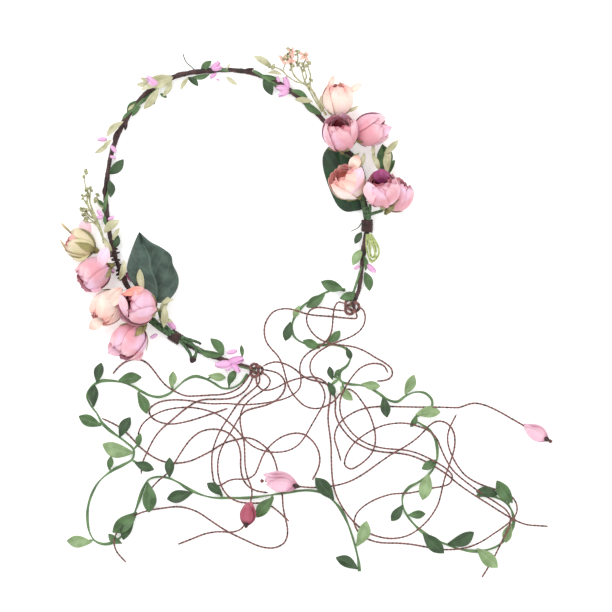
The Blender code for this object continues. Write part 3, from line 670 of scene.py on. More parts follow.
class ScatterTree:
    """A Geometry Nodes tree that stands a copy of one piece on every place of a list."""

    def __init__(self, name: str) -> None:
        """Builds the tree and its named inputs."""
        self.tree = bpy.data.node_groups.new(name, "GeometryNodeTree")
        make = self.tree.interface.new_socket
        make("Geometry", in_out="OUTPUT", socket_type="NodeSocketGeometry")
        make("Places", in_out="INPUT", socket_type="NodeSocketGeometry")
        self.inputs = {
            label: make(label, in_out="INPUT", socket_type=kind).identifier
            for label, kind in (
                ("Piece", "NodeSocketObject"),
                ("Finish", "NodeSocketMaterial"),
                ("Smallest", "NodeSocketFloat"),
                ("Largest", "NodeSocketFloat"),
                ("Seed", "NodeSocketInt"),
            )
        }
        self.wire_up()

    def wire_up(self) -> None:
        """Adds the nodes and links them."""
        new, link = self.tree.nodes.new, self.tree.links.new
        start, end = new("NodeGroupInput"), new("NodeGroupOutput")
        piece, copies = new("GeometryNodeObjectInfo"), new("GeometryNodeInstanceOnPoints")
        turn, size = (new("GeometryNodeInputNamedAttribute") for _ in range(2))
        turn.data_type, size.data_type = "FLOAT_VECTOR", "FLOAT"
        turn.inputs["Name"].default_value, size.inputs["Name"].default_value = "turn", "size"
        vary, scale = new("FunctionNodeRandomValue"), new("ShaderNodeMath")
        scale.operation = "MULTIPLY"
        realize, paint = new("GeometryNodeRealizeInstances"), new("GeometryNodeSetMaterial")
        link(start.outputs["Piece"], piece.inputs["Object"])
        link(start.outputs["Places"], copies.inputs["Points"])
        link(piece.outputs["Geometry"], copies.inputs["Instance"])
        link(turn.outputs["Attribute"], copies.inputs["Rotation"])
        numbers = [socket for socket in vary.inputs if socket.enabled]
        link(start.outputs["Smallest"], numbers[0])
        link(start.outputs["Largest"], numbers[1])
        link(start.outputs["Seed"], vary.inputs["Seed"])
        value = next(socket for socket in vary.outputs if socket.enabled)
        link(size.outputs["Attribute"], scale.inputs[0])
        link(value, scale.inputs[1])
        link(scale.outputs[0], copies.inputs["Scale"])
        link(copies.outputs[0], realize.inputs[0])
        link(realize.outputs[0], paint.inputs["Geometry"])
        link(start.outputs["Finish"], paint.inputs["Material"])
        link(paint.outputs[0], end.inputs["Geometry"])

    def scatter(
        self,
        name: str,
        piece: bpy.types.Object,
        places: Points,
        turns: Points,
        sizes: Points,
        finish: bpy.types.Material,
        vary: tuple[float, float] = (0.92, 1.08),
        seed: int = 1,
    ) -> bpy.types.Object:
        """Stands copies of a piece on places and makes them one plain mesh.

        Args:
            name: the new piece's name.
            piece: what is copied, of unit length along +X.
            places: where each copy starts.
            turns: each copy's turn about X, then Y, then Z.
            sizes: each copy's length.
            finish: the material of all of them.
            vary: the range of extra random scale.
            seed: what fixes that scale.

        Returns:
            The finished piece.
        """
        mesh = bpy.data.meshes.new(name)
        mesh.from_pydata(np.asarray(places, float).tolist(), [], [])
        turn = mesh.attributes.new("turn", "FLOAT_VECTOR", "POINT")
        turn.data.foreach_set("vector", np.asarray(turns, np.float32).ravel())
        size = mesh.attributes.new("size", "FLOAT", "POINT")
        size.data.foreach_set("value", np.asarray(sizes, np.float32))
        obj = bpy.data.objects.new(name, mesh)
        bpy.context.scene.collection.objects.link(obj)
        modifier = obj.modifiers.new("Scatter", "NODES")
        modifier.node_group = self.tree
        values = {"Piece": piece, "Finish": finish, "Smallest": vary[0], "Largest": vary[1], "Seed": seed}
        for label, value in values.items():
            modifier[self.inputs[label]] = value
        return settled(obj)


def discard(*patterns: bpy.types.Object) -> None:
    """Removes the pieces that were only there to be copied."""
    for pattern in patterns:
        bpy.data.objects.remove(pattern, do_unlink=True)


def sideways(path: Points) -> Points:
    """The level direction across a line, at each of its points."""
    ahead = np.gradient(path, axis=0)
    ahead /= np.linalg.norm(ahead, axis=1)[:, None]
    return np.cross((0, 0, 1), ahead)


def leaf_piece(
    name: str, finish: bpy.types.Material, width: float, fullest: float, cup: float
) -> bpy.types.Object:
    """One leaf of unit length along +X, to be copied.

    Args:
        name: its name.
        finish: its material.
        width: its full width.
        fullest: where along its length it is widest.
        cup: how far its sides rise above the midrib.

    Returns:
        The leaf.
    """
    sheets = SheetSet(name, finish, wall=0.035, rows=6, columns=4, smoothing=1)
    power = math.log(0.5) / math.log(fullest)

    def surface(across: Points, along: Points) -> Points:
        """The leaf's face."""
        half = width / 2 * np.sin(math.pi * along**power) ** 0.75 + 0.012
        side = 2 * across - 1
        rise = cup * np.abs(side) ** 1.5 * half * 2 + 0.10 * np.sin(math.pi * along) - 0.06 * along**2
        return np.stack([along, side * half, rise], -1)

    sheets.add(surface)
    return sheets.build()


# ---------------------------------------------------------------------------------------------
# Cords and vines
# ---------------------------------------------------------------------------------------------


# The flat route of each vine and cord in millimetres, from where it is tied to its free end. They
# are laid in this order, so that each passes over those before it.
CORD_ROUTES: dict[str, tuple] = {
    "vine_left": (
        (8.5, -106), (4.5, -111.5), (-1, -115), (-8, -115.5), (-16, -111), (-25, -107.5), (-33, -110),
        (-41, -117), (-48, -121), (-56, -120.5), (-64, -116.5), (-72, -112.5), (-82, -110.5),
        (-90, -111), (-96, -115), (-98.5, -120.5), (-96, -127), (-91.5, -133), (-87.5, -140),
        (-80, -146), (-72.5, -151.5), (-67.5, -156.5), (-67.5, -161.5), (-73.5, -166), (-82, -170.5),
        (-90, -177), (-95, -185), (-98, -195), (-98, -206), (-95.5, -214.5), (-90, -219), (-82, -218.5),
        (-75, -213.5), (-69.5, -204.5), (-65, -193.5), (-61.5, -183), (-57, -176), (-49, -174.5),
        (-40, -177), (-32, -182), (-23.5, -186), (-14, -188.5), (-3, -188.5), (8, -188.5), (18, -187.5),
        (28, -186), (38, -184.5), (48, -183.5), (57, -185), (65, -190), (71.5, -198), (76, -208),
        (79.5, -219), (82, -229), (83, -237.5),
    ),
    "vine_right": (
        (73.5, -50), (68, -49.5), (61, -51.5), (53, -55.5), (46, -60), (40.5, -66.5), (38, -74),
        (39.5, -81), (46, -85.5), (55, -86.8), (65, -86.5), (73, -88.5), (77, -93.5), (75, -100),
        (70, -104.5), (69.5, -109.5), (75, -112.5), (84, -113.5), (92, -116.5), (99.5, -121.5),
        (106, -125), (111.5, -122), (118, -118.5), (126, -118.5), (131, -123), (131, -129),
        (125, -132.5), (119, -134.5), (120.5, -138), (127, -141), (132, -146.5), (134.5, -154),
        (134.5, -163), (130.5, -171.5), (123, -177.5), (115.5, -182), (111.5, -188.5), (112.5, -196),
        (117, -203.5), (124, -210.5), (132, -215.5), (141, -219.5), (151, -223), (162, -224),
        (173, -221.5), (181, -215.5), (185.5, -207), (184.5, -197.5), (179, -190.5), (170, -187.5),
        (161, -187),
    ),
    "cord_loop_left": (
        (-88.5, -135.5), (-82, -138.5), (-76, -142), (-70, -147.5), (-63.5, -154.5), (-56.5, -160),
        (-48.5, -164), (-40, -165.5), (-30, -164), (-22, -160.5), (-14.5, -156.5), (-8, -152.5),
        (0, -150), (8, -148.5), (14.5, -150.5), (20, -154.5), (24.5, -159.5), (27, -165.5),
        (28.5, -172), (30, -179), (31.5, -186), (32, -194), (33.5, -202), (35, -209.5), (34, -216.5),
        (30, -220.5), (23.5, -222), (15.5, -220.5), (6.5, -216.5), (-2, -212.5), (-9, -208.5),
        (-16.5, -203.5), (-24, -198.5), (-31.5, -195.5), (-39.5, -194.5), (-48.5, -195.5), (-58, -197),
        (-66.5, -200), (-73, -204.5), (-78, -210.5), (-80.5, -217.5), (-78.5, -224.5), (-72.5, -231.5),
    ),
    "cord_short_left": (
        (-56, -182.5), (-51.5, -177.5), (-44.5, -171.5), (-39.5, -164), (-35.5, -157.5), (-30, -150),
        (-23.5, -144.8), (-16, -142.8), (-8.5, -143.5), (-2, -147), (2, -152.5), (3.7, -159.5),
        (3.7, -167.5), (5, -175), (8.5, -180.5), (14.5, -183.8), (22, -185),
    ),
    "cord_a": (
        (10.3, -105.2), (7, -110.5), (3, -115), (-2.5, -118), (-9, -119.6), (-16, -120),
        (-24.5, -120.5), (-32.5, -120.5), (-40, -117.5), (-46, -113.5), (-50.5, -108.5), (-55, -102.5),
        (-60, -97.8), (-66.5, -96.2), (-73, -98), (-78, -101.8), (-81.5, -106),
    ),
    "cord_b": (
        (12.1, -106.8), (10, -112.5), (6, -117.8), (0, -121.3), (-6, -122.6), (-14.5, -122.8),
        (-21.5, -123.2), (-27.5, -125.5), (-34, -130), (-43.5, -138), (-50, -143.8), (-54.5, -150),
        (-58.5, -158), (-61.5, -165), (-62.5, -172.5),
    ),
    "cord_c": (
        (16.3, -106.7), (16, -112), (11.3, -117), (5.5, -121.8), (1, -127), (-3, -133), (-7, -139),
        (-10.5, -145), (-13, -151), (-15, -158), (-15.5, -165.5), (-15, -173), (-13.5, -178.8),
        (-10, -180.5), (-6, -177.8), (0, -176), (7, -176), (12.5, -173.5), (15.5, -168), (18, -161.5),
        (21.5, -156), (26.5, -151), (32.5, -147.3), (39.5, -145.5), (46, -146.3), (51.5, -150.5),
        (55.3, -156.5), (56.5, -163.5), (55, -170), (51.5, -176.5),
    ),
    "cord_d": (
        (18.9, -103), (24, -104), (28.5, -105.5), (32, -108.8), (33.5, -113.5), (32, -118.5),
        (28, -123), (21.5, -126.5), (14, -128.5), (7.5, -130.5), (3.5, -134), (0.5, -139), (-3, -145),
        (-7, -151.5), (-10.2, -158.8), (-11.5, -166.8), (-10.8, -175), (-8.3, -182), (-4, -187.5),
        (2.5, -191), (11, -192), (19, -192), (25, -194.5), (30, -198.5), (36, -204),
    ),
    "cord_e": (
        (17.9, -105.1), (22.3, -108), (23.2, -112.5), (19, -116.8), (13, -120.8), (7.5, -125.5),
        (4.3, -131), (3.5, -137.5), (4.5, -144), (6, -151), (6.5, -159), (6.8, -167), (8.3, -174.5),
        (10.8, -181), (11.2, -187), (10, -192.5), (8.5, -198.5), (7.3, -204.5), (3.5, -209.5),
        (-3, -211.3), (-11, -211), (-20, -212.5), (-29, -216), (-38, -219.5),
    ),
    "cord_f": (
        (18.8, -100.7), (23.5, -98.6), (28.5, -98), (34, -99.5), (39.5, -102.5), (44, -106.3),
        (49, -109.5), (55.5, -111), (61.5, -113), (65.5, -118), (67, -124.5), (66.8, -131.5),
        (68.8, -138), (72.7, -144), (77.7, -149.5), (83.7, -153.5), (90.7, -156.5), (98.5, -158),
        (107.5, -158.7), (117, -160.3), (126, -163.8), (134, -168.2), (141, -172.8), (147, -177.8),
        (153, -182.3), (160.5, -187.3), (170, -193.3), (179.5, -199.3), (187, -203.5), (194.5, -206.3),
        (202, -207), (208.5, -207.5),
    ),
    "cord_g": (
        (14.2, -107), (15, -113.2), (19.5, -116.8), (26.5, -115.5), (33.5, -112), (42, -109),
        (51.5, -108), (58, -109.8), (62.3, -114.5), (63.5, -121), (62.5, -128.5), (62, -136.5),
        (63, -145), (64, -154), (64.2, -163.5), (64.7, -173.5), (66, -182), (68.7, -189.5),
        (72.7, -196.5), (77.7, -203), (83.7, -208.7), (91, -212.8), (100, -215.3), (108, -215.3),
        (115.5, -213.3), (122, -209.3), (128, -203.8), (132.5, -197.8), (135.7, -191.5),
        (137.7, -183.5), (139.8, -174.5), (143.5, -164), (146.3, -154), (145.8, -145), (141.8, -139.3),
        (136, -137.3), (130.5, -139.5), (126, -144), (120, -149.7), (112.5, -154.8), (104.5, -159.3),
        (95.5, -165.5), (86, -172.3), (76.5, -177.5), (66.5, -180.3), (58, -181.3), (50, -181.5),
        (41, -180.5), (30, -178.5), (20, -177.3),
    ),
    "cord_h": (
        (70.5, -164), (68.3, -156), (66.3, -149), (67.5, -142.5), (71, -137.3), (75.5, -133.7),
        (81.5, -130.5), (88.5, -128.5), (98, -127.6), (110, -127.8), (122, -128), (134, -128),
        (143.5, -128.3), (150, -128.2), (155, -126.3), (160.5, -125.5), (168, -127.3), (176.5, -131.3),
        (183.5, -135.3), (190, -139), (196, -142.5), (202.5, -146.3), (208.5, -149.8),
    ),
    "cord_k": (
        (80.5, -64.5), (82.4, -66.6), (80.3, -68.9), (72.5, -68.6), (63.5, -67.6), (54, -67),
        (46, -65.5), (39.5, -63.3), (33.5, -62.5), (26.5, -64), (21.5, -69.5), (19.5, -76),
        (20.5, -83.5), (24.5, -89.5), (29, -94.5), (31.8, -100.5), (33.8, -108), (36.3, -115.5),
        (40.8, -122), (46.8, -127.3), (54, -129), (60.5, -127.3), (66.5, -123.5), (70.8, -118.3),
        (75.5, -116), (80, -118.5), (84.3, -124), (88.5, -130.5), (91.5, -138), (93.4, -146),
        (93, -154), (89.8, -160.5), (84.3, -165.5), (79, -168.8), (74.8, -169), (73, -165.5),
        (74.5, -159.5), (78.5, -153), (84.3, -147.7), (91.5, -143.3), (99, -140.2), (107.5, -138.7),
        (115.5, -139), (123.5, -141.3), (129.5, -144), (134.3, -149), (137.3, -156), (140.8, -163.5),
        (145.3, -170.3), (151, -175.5), (157, -180.2), (164.3, -185.5), (173, -191), (180.5, -196.5),
        (183.3, -202.5), (181.8, -209), (178.3, -216), (174.5, -224), (170, -232.5), (164.5, -241.5),
    ),
    "cord_m": (
        (72.4, -58.8), (69, -58), (66.2, -62), (65.2, -69.5), (64.5, -76.5), (62, -82.5), (56.5, -87.5),
        (50.5, -90.7), (45.7, -95), (43.2, -101), (43.8, -107.5), (43.5, -114), (39.5, -119),
        (32, -122.7), (22.5, -124.8), (13, -126), (4, -126.3), (-5, -125.6), (-14.5, -125.8),
        (-22, -125.2), (-30, -123.8), (-40, -123.2), (-48.5, -124.2), (-54, -126.6), (-57.2, -130.3),
        (-55.5, -134.8), (-50, -138), (-42, -139.3), (-31.5, -137.5), (-21.5, -134.5), (-13, -131.7),
        (-5, -129),
    ),
    "cord_n": (
        (72.4, -63.9), (66.5, -63.2), (60, -62), (54, -61.7), (49.5, -64.2), (47.6, -69.5),
        (49.5, -75.5), (53.5, -80.5), (59, -84), (66, -86.2), (73.5, -87), (80.5, -88.3), (87.5, -91.3),
        (94, -95.3), (100.5, -99), (104.7, -103.5), (104, -108), (100, -110.2), (94.5, -110.7),
    ),
    "cord_o": (
        (81.6, -61.3), (85.3, -63.3), (86.7, -69), (84.6, -75.3), (79.5, -79.8), (73.5, -82.7),
        (66.5, -85.2), (59.5, -88.7), (53.7, -93), (50.3, -98.5), (50.5, -104.7), (54.3, -109.7),
        (58, -114.3), (59.8, -120), (58.8, -126), (55.3, -132.5), (51, -140), (47, -147), (42.3, -153),
        (36, -156.7), (28.5, -158), (20.5, -157.3), (13, -154.5), (7, -149.8), (2, -144),
        (-3.5, -138.5), (-9.5, -134), (-16.5, -130.8), (-25.5, -128.7), (-33.5, -128.2), (-41.5, -129),
        (-48.5, -130.8), (-55.5, -134.2), (-61, -138.8), (-64, -144.5), (-64.5, -152.5),
    ),
    "cord_p": (
        (102, -105.2), (99.7, -101), (94.7, -99), (88, -99.8), (82.3, -103), (78, -108), (74, -114),
        (70.8, -120.5), (69.8, -127.5), (71, -134.5), (74.7, -141), (79.7, -146.8), (86.2, -151.3),
        (94, -154.3), (102, -155.7), (110.5, -156.3), (118.5, -157.7), (126.3, -160.7), (134.3, -164.8),
        (141, -169.3), (144.6, -174), (143, -178.5), (138, -180.6), (131.3, -181.8), (123.5, -183.7),
        (115, -185.3), (106, -185.7), (97.5, -188), (89.7, -191.5), (83, -196.5), (79.5, -202.5),
        (80.8, -209), (86, -214.5), (93.5, -217.7), (102, -218.7), (110, -218.8), (118.5, -219.7),
        (127.5, -221.3), (137, -222.7), (147, -222.7), (157, -220.7), (165.5, -216.7), (173, -211.5),
        (180, -206.5), (185.8, -201), (187.7, -195), (185.5, -189), (179.7, -184.7), (170.5, -182),
        (161.5, -178.5), (153.7, -173.7), (148.5, -167.5), (144.3, -160), (141.7, -152), (142, -144.7),
        (144.7, -138.3), (147.5, -132.8),
    ),
}
VINES = ("vine_left", "vine_right")
TIED_AT_KNOTS = (
    "cord_a", "cord_b", "cord_c", "cord_d", "cord_e", "cord_f", "cord_g", "cord_k", "cord_m", "cord_n", "cord_o",
)

# The vines' leaves by shade, in millimetres: the base and the tip of each.
LEFT_VINE_LEAVES = {
    "leaf_dark": (
        (-92, -112, -89, -98.5), (-94, -128, -93.5, -114), (-77, -148.5, -70, -135),
        (-67, -165, -54, -169.5),
        (-43.5, -175, -43.5, -162), (-28, -185, -46, -189.5), (-67, -201, -75, -217), (-8, -187, -18, -179),
        (66, -190, 54, -175.5), (82, -236, 67.5, -228),
    ),
    "leaf": (
        (-89, -140.5, -104, -134), (-78, -110.5, -62.5, -108), (-65, -118, -58.5, -132),
        (-64.5, -155, -63, -145.5),
        (-84, -170, -82.5, -161), (-58, -178, -57, -199), (-65, -198, -82, -212), (-75, -219, -84, -213),
        (26, -188, 14.5, -201), (-4.5, -114, 0.5, -103.5),
    ),
    "leaf_light": (
        (-42.5, -115.5, -41, -104), (-67, -158.5, -87, -153.5), (-95, -218, -112, -217),
        (-18, -107, -6.5, -108.5),
        (81, -221, 88, -204),
    ),
}
RIGHT_VINE_LEAVES = {
    "leaf_dark": (
        (37, -71, 33.5, -84), (74, -88, 77.5, -97), (65, -110, 63, -101.5), (62, -111, 66, -120.5),
        (98.5, -121, 101.5, -136), (112, -193, 103.5, -205), (125, -212, 140, -226),
        (141, -219.5, 158.5, -212),
        (176, -186, 160, -184),
    ),
    "leaf": (
        (60, -53, 47, -62), (61, -85.5, 70.5, -77), (57, -89, 46, -84), (135, -163, 124, -169.5),
        (115, -200, 127, -199), (185, -192, 174.5, -177.5), (121, -133, 117, -141), (66, -108, 71, -102.5),
    ),
    "leaf_light": (
        (43, -60, 39, -69), (70, -114, 78.5, -124), (84, -112.5, 96, -114), (113, -119.5, 119.5, -106),
        (120, -133, 137, -131), (129, -172, 125, -189), (161, -222, 174, -234), (184, -205, 180, -219),
    ),
}


class Ending(Enum):
    """How a cord's free end is finished."""

    CUT = "bare"
    KNOTTED = "knot"


@dataclass
class CordBed:
    """Lays each cord's line over those below it, as limp cords settle on a surface."""

    cord: float = 0.0013
    vine: float = 0.0023
    gap: float = 0.00035
    knot_height: float = 0.0040
    reading: float = 0.0006
    most_segments: int = 78
    passes: int = 6
    hump: float = 0.006
    slope: float = 0.30
    batch: int = 4000
    laid: dict[str, Points] = field(default_factory=dict)

    def diameter(self, name: str) -> float:
        """The thickness of a cord or a vine."""
        return self.vine if name in VINES else self.cord

    def dense(self, path: Points) -> tuple[Points, Points]:
        """Reads a polyline at close steps.

        Args:
            path: its vertices.

        Returns:
            Points close together along it, and the index of the vertex before each.
        """
        found, owner = [], []
        for index, (start, end) in enumerate(zip(path, path[1:])):
            count = max(2, int(np.linalg.norm(end - start) / self.reading) + 1)
            share = np.linspace(0, 1, count)[:, None]
            found.append(start + (end - start) * share)
            owner += [index] * count
        return np.vstack(found), np.array(owner)

    def rise_over(
        self, points: Points, radius: float, lower: Points, lower_radii: Points,
        counted: Points | None = None
    ) -> Points:
        """How high a line must be at each point to pass over the lower points.

        Args:
            points: the line's points.
            radius: its radius.
            lower: the points below it.
            lower_radii: their radii.
            counted: which pairs count, or None for all of them.

        Returns:
            The least height at each point.
        """
        floor = np.zeros(len(points))
        for first in range(0, len(lower), self.batch):
            some = slice(first, first + self.batch)
            part, radii = lower[some], lower_radii[some]
            apart = np.linalg.norm(points[:, None, :2] - part[None, :, :2], axis=2)
            reach = radius + radii[None, :] + self.gap
            rise = part[None, :, 2] + np.sqrt(np.clip(reach**2 - apart**2, 0, None))
            touching = apart < reach
            if counted is not None:
                touching &= counted[:, some]
            floor = np.maximum(floor, np.where(touching, rise, 0).max(axis=1))
        return floor

    def eased(self, need: Points, step: float, lowest: float) -> Points:
        """Eases the needed heights into wide low humps with gentle slopes.

        Args:
            need: the least height at each vertex.
            step: the distance between vertices.
            lowest: the height of a cord that lies on the floor.

        Returns:
            The height at each vertex.
        """
        spread = max(1, round(self.hump / step))
        padded = np.pad(need, spread, mode="edge")
        wide = np.array([padded[i:i + 2 * spread + 1].max() for i in range(len(need))])
        index = np.arange(len(need))
        fall = self.slope * step * np.abs(index[:, None] - index[None, :])
        cone = (wide[None, :] - fall).max(axis=1)
        padded = np.pad(np.maximum(cone, lowest), spread, mode="edge")
        kernel = np.ones(2 * spread + 1) / (2 * spread + 1)
        return np.maximum(np.convolve(padded, kernel, mode="valid"), need)

    def lay_all(self) -> None:
        """Works out the height of every cord along its route."""
        below, below_radii = np.empty((0, 3)), np.empty(0)
        for name, route in CORD_ROUTES.items():
            diameter = self.diameter(name)
            radius = diameter / 2
            run = 0.001 * len(smooth_route(placed(route), 0.001))
            flat = smooth_route(placed(route), max(3 * diameter, run / self.most_segments))
            lowest = radius + 0.0001
            path = np.column_stack([flat, np.full(len(flat), lowest)])
            step = float(np.linalg.norm(path[1] - path[0]))
            for _ in range(self.passes):
                points, owner = self.dense(path)
                over = np.zeros(len(points))
                if len(below):
                    over = self.rise_over(points, radius, below, below_radii)
                run = np.arange(len(points))
                later = (run[:, None] - run[None, :]) * self.reading > 5 * diameter
                own = self.rise_over(points, radius, points, np.full(len(points), radius), later)
                over = np.maximum(over, own)
                need = np.full(len(path), lowest)
                np.maximum.at(need, owner, over)
                np.maximum.at(need, owner + 1, over)
                if name in TIED_AT_KNOTS:
                    need[0] = max(need[0], self.knot_height)
                path[:, 2] = self.eased(need, step, lowest)
            self.laid[name] = path
            points, _ = self.dense(path)
            below = np.vstack([below, points])
            below_radii = np.concatenate([below_radii, np.full(len(points), radius)])


@dataclass
class Trails:
    """The twisted cords and leafy vines that hang from the ring's two ends."""

    bed: CordBed
    finishes: Finishes
    scatter: ScatterTree
    cord_profile: Profile = Profile(sides=10, pitch=0.0052, lobes=2, depth=0.30)
    vine_profile: Profile = Profile(sides=10, pitch=0.075, flat=0.62)
    step: float = 0.0006

    def fine(self, name: str) -> Points:
        """A cord's smooth line, in close steps."""
        path = smooth_route(self.bed.laid[name], self.step)
        path[:, 2] = np.maximum(path[:, 2], self.bed.diameter(name) / 2 + 0.00005)
        return path

    def make_cord(self, name: str) -> None:
        """Twists one cord and tapers both its ends.

        Args:
            name: the cord's node.
        """
        path = self.fine(name)
        diameter = self.bed.cord
        radius = np.full(len(path), diameter / 2)
        radius[:4] *= (0.6, 0.8, 0.92, 0.98)
        radius[-4:] *= (0.98, 0.92, 0.8, 0.6)
        cord = wound_tube(f"twisted_{name}", path, radius, self.cord_profile, self.finishes.twine)
        declared(cord, "cord", name)

    def make_vine(self, name: str, leaves: dict[str, Sequence]) -> None:
        """Makes one vine: a flat suede ribbon with leaves along both its sides.

        Args:
            name: the vine's node.
            leaves: the base and tip of each leaf, by shade.
        """
        path = self.fine(name)
        diameter = self.bed.vine
        share = np.linspace(0, 1, len(path))
        radius = diameter / 2 * (1 - 0.30 * np.abs(np.sin(share * math.pi * 23)) ** 3)
        ribbon = wound_tube(f"ribbon_{name}", path, radius, self.vine_profile, self.finishes.vine)
        declared(ribbon, "leaf_green", name)
        random = noise_of(7)
        pattern = leaf_piece(f"pattern_{name}", self.finishes.leaf, 0.48, 0.60, 0.25)
        stalk = leaf_piece(f"stalk_{name}", self.finishes.leaf, 0.26, 0.5, 0.1)
        grown, gaps = [], []
        for shade, rows in leaves.items():
            rows = np.array(rows, float)
            bases, tips = placed(rows[:, :2]), placed(rows[:, 2:])
            run = tips - bases
            nearest = np.linalg.norm(bases[:, None] - path[None, :, :2], axis=2).argmin(axis=1)
            starts = np.column_stack([bases, path[nearest, 2] + 0.0006])
            ends = np.column_stack([tips, starts[:, 2] + 0.0006])
            gaps += list(zip(path[nearest], (2.4 * starts + ends) / 3.4))
            pitch = random.uniform(-0.22, 0.0, len(rows))
            roll = random.uniform(-0.35, 0.35, len(rows))
            turns = np.column_stack([roll, pitch, np.arctan2(run[:, 1], run[:, 0])])
            made = self.scatter.scatter(
                f"{shade}_{name}", pattern, starts, turns, np.linalg.norm(run, axis=1),
                getattr(self.finishes, shade), seed=len(rows),
            )
            grown.append(declared(made, "leaf_green"))
        feet, heads = np.array(gaps).transpose(1, 0, 2)
        span = heads - feet
        flat = np.linalg.norm(span[:, :2], axis=1)
        pitch, yaw = -np.arctan2(span[:, 2], flat), np.arctan2(span[:, 1], span[:, 0])
        turns = np.column_stack([flat * 0, pitch, yaw])
        stalks = self.scatter.scatter(
            f"stalks_{name}", stalk, feet, turns, flat, self.finishes.vine, seed=2
        )
        grown.append(declared(stalks, "leaf_green"))
        discard(pattern, stalk)

    def make(self) -> None:
        """Makes every cord and vine."""
        self.bed.lay_all()
        for name in CORD_ROUTES:
            if name not in VINES:
                self.make_cord(name)
        self.make_vine("vine_left", LEFT_VINE_LEAVES)
        self.make_vine("vine_right", RIGHT_VINE_LEAVES)


# ---------------------------------------------------------------------------------------------
# Buds
# ---------------------------------------------------------------------------------------------


@dataclass(frozen=True)
class Look:
    """A bud's colouring: its outer petals, its inner petals and its furled core, the inner ones darker as
    painted shade deeper inside the bud.
    """

    outer: str
    inner: str
    core: str


PINK = Look("pink", "rose", "deep")
CREAM = Look("cream", "coral", "coral")
PALE = Look("olive", "coral", "deep")


@dataclass(frozen=True)
class Petal:
    """One petal of a bud, as an angular patch that wraps round it."""

    turn: float
    half_width: float
    start: float = 0.10
    end: float = 2.35
    reach: float = 1.0
    slant: float = 0.05
    flare: float = 0.08
    point: float = 0.25
    seed: int = 1

    def surface(self, frame_of: "BudFrame") -> Callable[[Points, Points], Points]:
        """The petal's face on a bud.

        Args:
            frame_of: the bud's centre, size and directions.

        Returns:
            A function from across and along to places in space.
        """
        random = noise_of(self.seed)
        phases = random.uniform(0, 2 * math.pi, 4)
        tilt = random.uniform(-0.06, 0.06)

        def face(across: Points, along: Points) -> Points:
            """Places in space from the shares across and along the petal."""
            side = 2 * across - 1
            spread = np.sin(math.pi * np.clip(0.12 + 0.72 * along, 0, 1)) ** 0.55
            narrow = 1 - self.point * along**4
            angle = self.turn + side * self.half_width * spread * narrow
            top = self.end - 0.16 * side**2 + 0.05 * np.sin(5 * side + phases[0]) * along**3
            polar = self.start + (top - self.start) * along + tilt * side
            reach = self.reach + self.slant * side
            reach = reach + self.flare * np.clip((along - 0.72) / 0.28, 0, 1) ** 2
            reach = reach + 0.016 * np.sin(3.2 * side + phases[1]) * np.sin(math.pi * along)
            reach = reach + 0.022 * np.sin(7 * side + phases[2]) * along**5
            reach = reach - 0.030 * np.exp(-((side / 0.10) ** 2)) * np.sin(math.pi * along)
            return frame_of.spread(angle, polar, reach)

        return face


@dataclass(frozen=True)
class BudFrame:
    """A bud's centre, radius and directions: out of its mouth, and the two across it."""

    centre: Points
    radius: float
    heading: float
    tilt: float
    long: float = 1.06

    @property
    def axes(self) -> tuple[Points, Points, Points]:
        """The mouth's direction and the two across it, the first of them level."""
        turn, rise = math.radians(self.heading), math.radians(self.tilt)
        mouth = np.array((math.cos(turn) * math.cos(rise), math.sin(turn) * math.cos(rise), math.sin(rise)))
        side = np.array((-math.sin(turn), math.cos(turn), 0))
        return mouth, side, np.cross(mouth, side)

    def spread(self, angle: Points, polar: Points, reach: Points) -> Points:
        """Places on the bud.

        Args:
            angle: the turn about the mouth's direction, where a quarter turn is up.
            polar: the angle from the base, so that the mouth is at pi.
            reach: the distance from the centre, as a share of the radius.

        Returns:
            Places in space.
        """
        mouth, side, up = self.axes
        out = np.sin(polar) * reach * self.radius
        forward = -np.cos(polar) * reach * self.radius * self.long
        flat = out[..., None] * (np.cos(angle)[..., None] * side - np.sin(angle)[..., None] * -up)
        return self.centre + flat + forward[..., None] * mouth


@dataclass(frozen=True)
class LoosePetal:
    """A petal that stands away from its bud, between a drawn base and tip in millimetres."""

    base: tuple[float, float]
    tip: tuple[float, float]
    width: float
    finish: str
    lift: float = 0.0
    arch: float = 3.0
    cup: float = 1.6
    fullest: float = 0.62

    def surface(self, spot: BudFrame) -> Callable[[Points, Points], Points]:
        """The petal's face, from its base to its tip.

        Args:
            spot: the bud that it belongs to.

        Returns:
            A function from across and along to places in space.
        """
        start, end = placed(self.base)[0], placed(self.tip)[0]
        run = end - start
        length = float(np.linalg.norm(run))
        run = run / length
        aside = np.array((-run[1], run[0]))

        def face(across: Points, along: Points) -> Points:
            """Places in space from the shares across and along the petal."""
            side = 2 * across - 1
            swell = np.clip(along, 0.015, 0.985) ** (math.log(0.5) / math.log(self.fullest))
            half = self.width * MM / 2 * np.sin(math.pi * swell) ** 0.62
            reach = length * (along - 0.04 * side**2 * along)
            flat = start + run * reach[..., None] + aside * (side * half)[..., None]
            rise = self.arch * np.sin(math.pi * along * 0.8) + self.cup * side**2 * np.sin(math.pi * along)
            rise = rise + 0.3 * np.sin(9 * side + 4 * along) * along
            height = spot.centre[2] + (self.lift + rise) * MM
            return np.concatenate([flat, height[..., None]], -1)

        return face


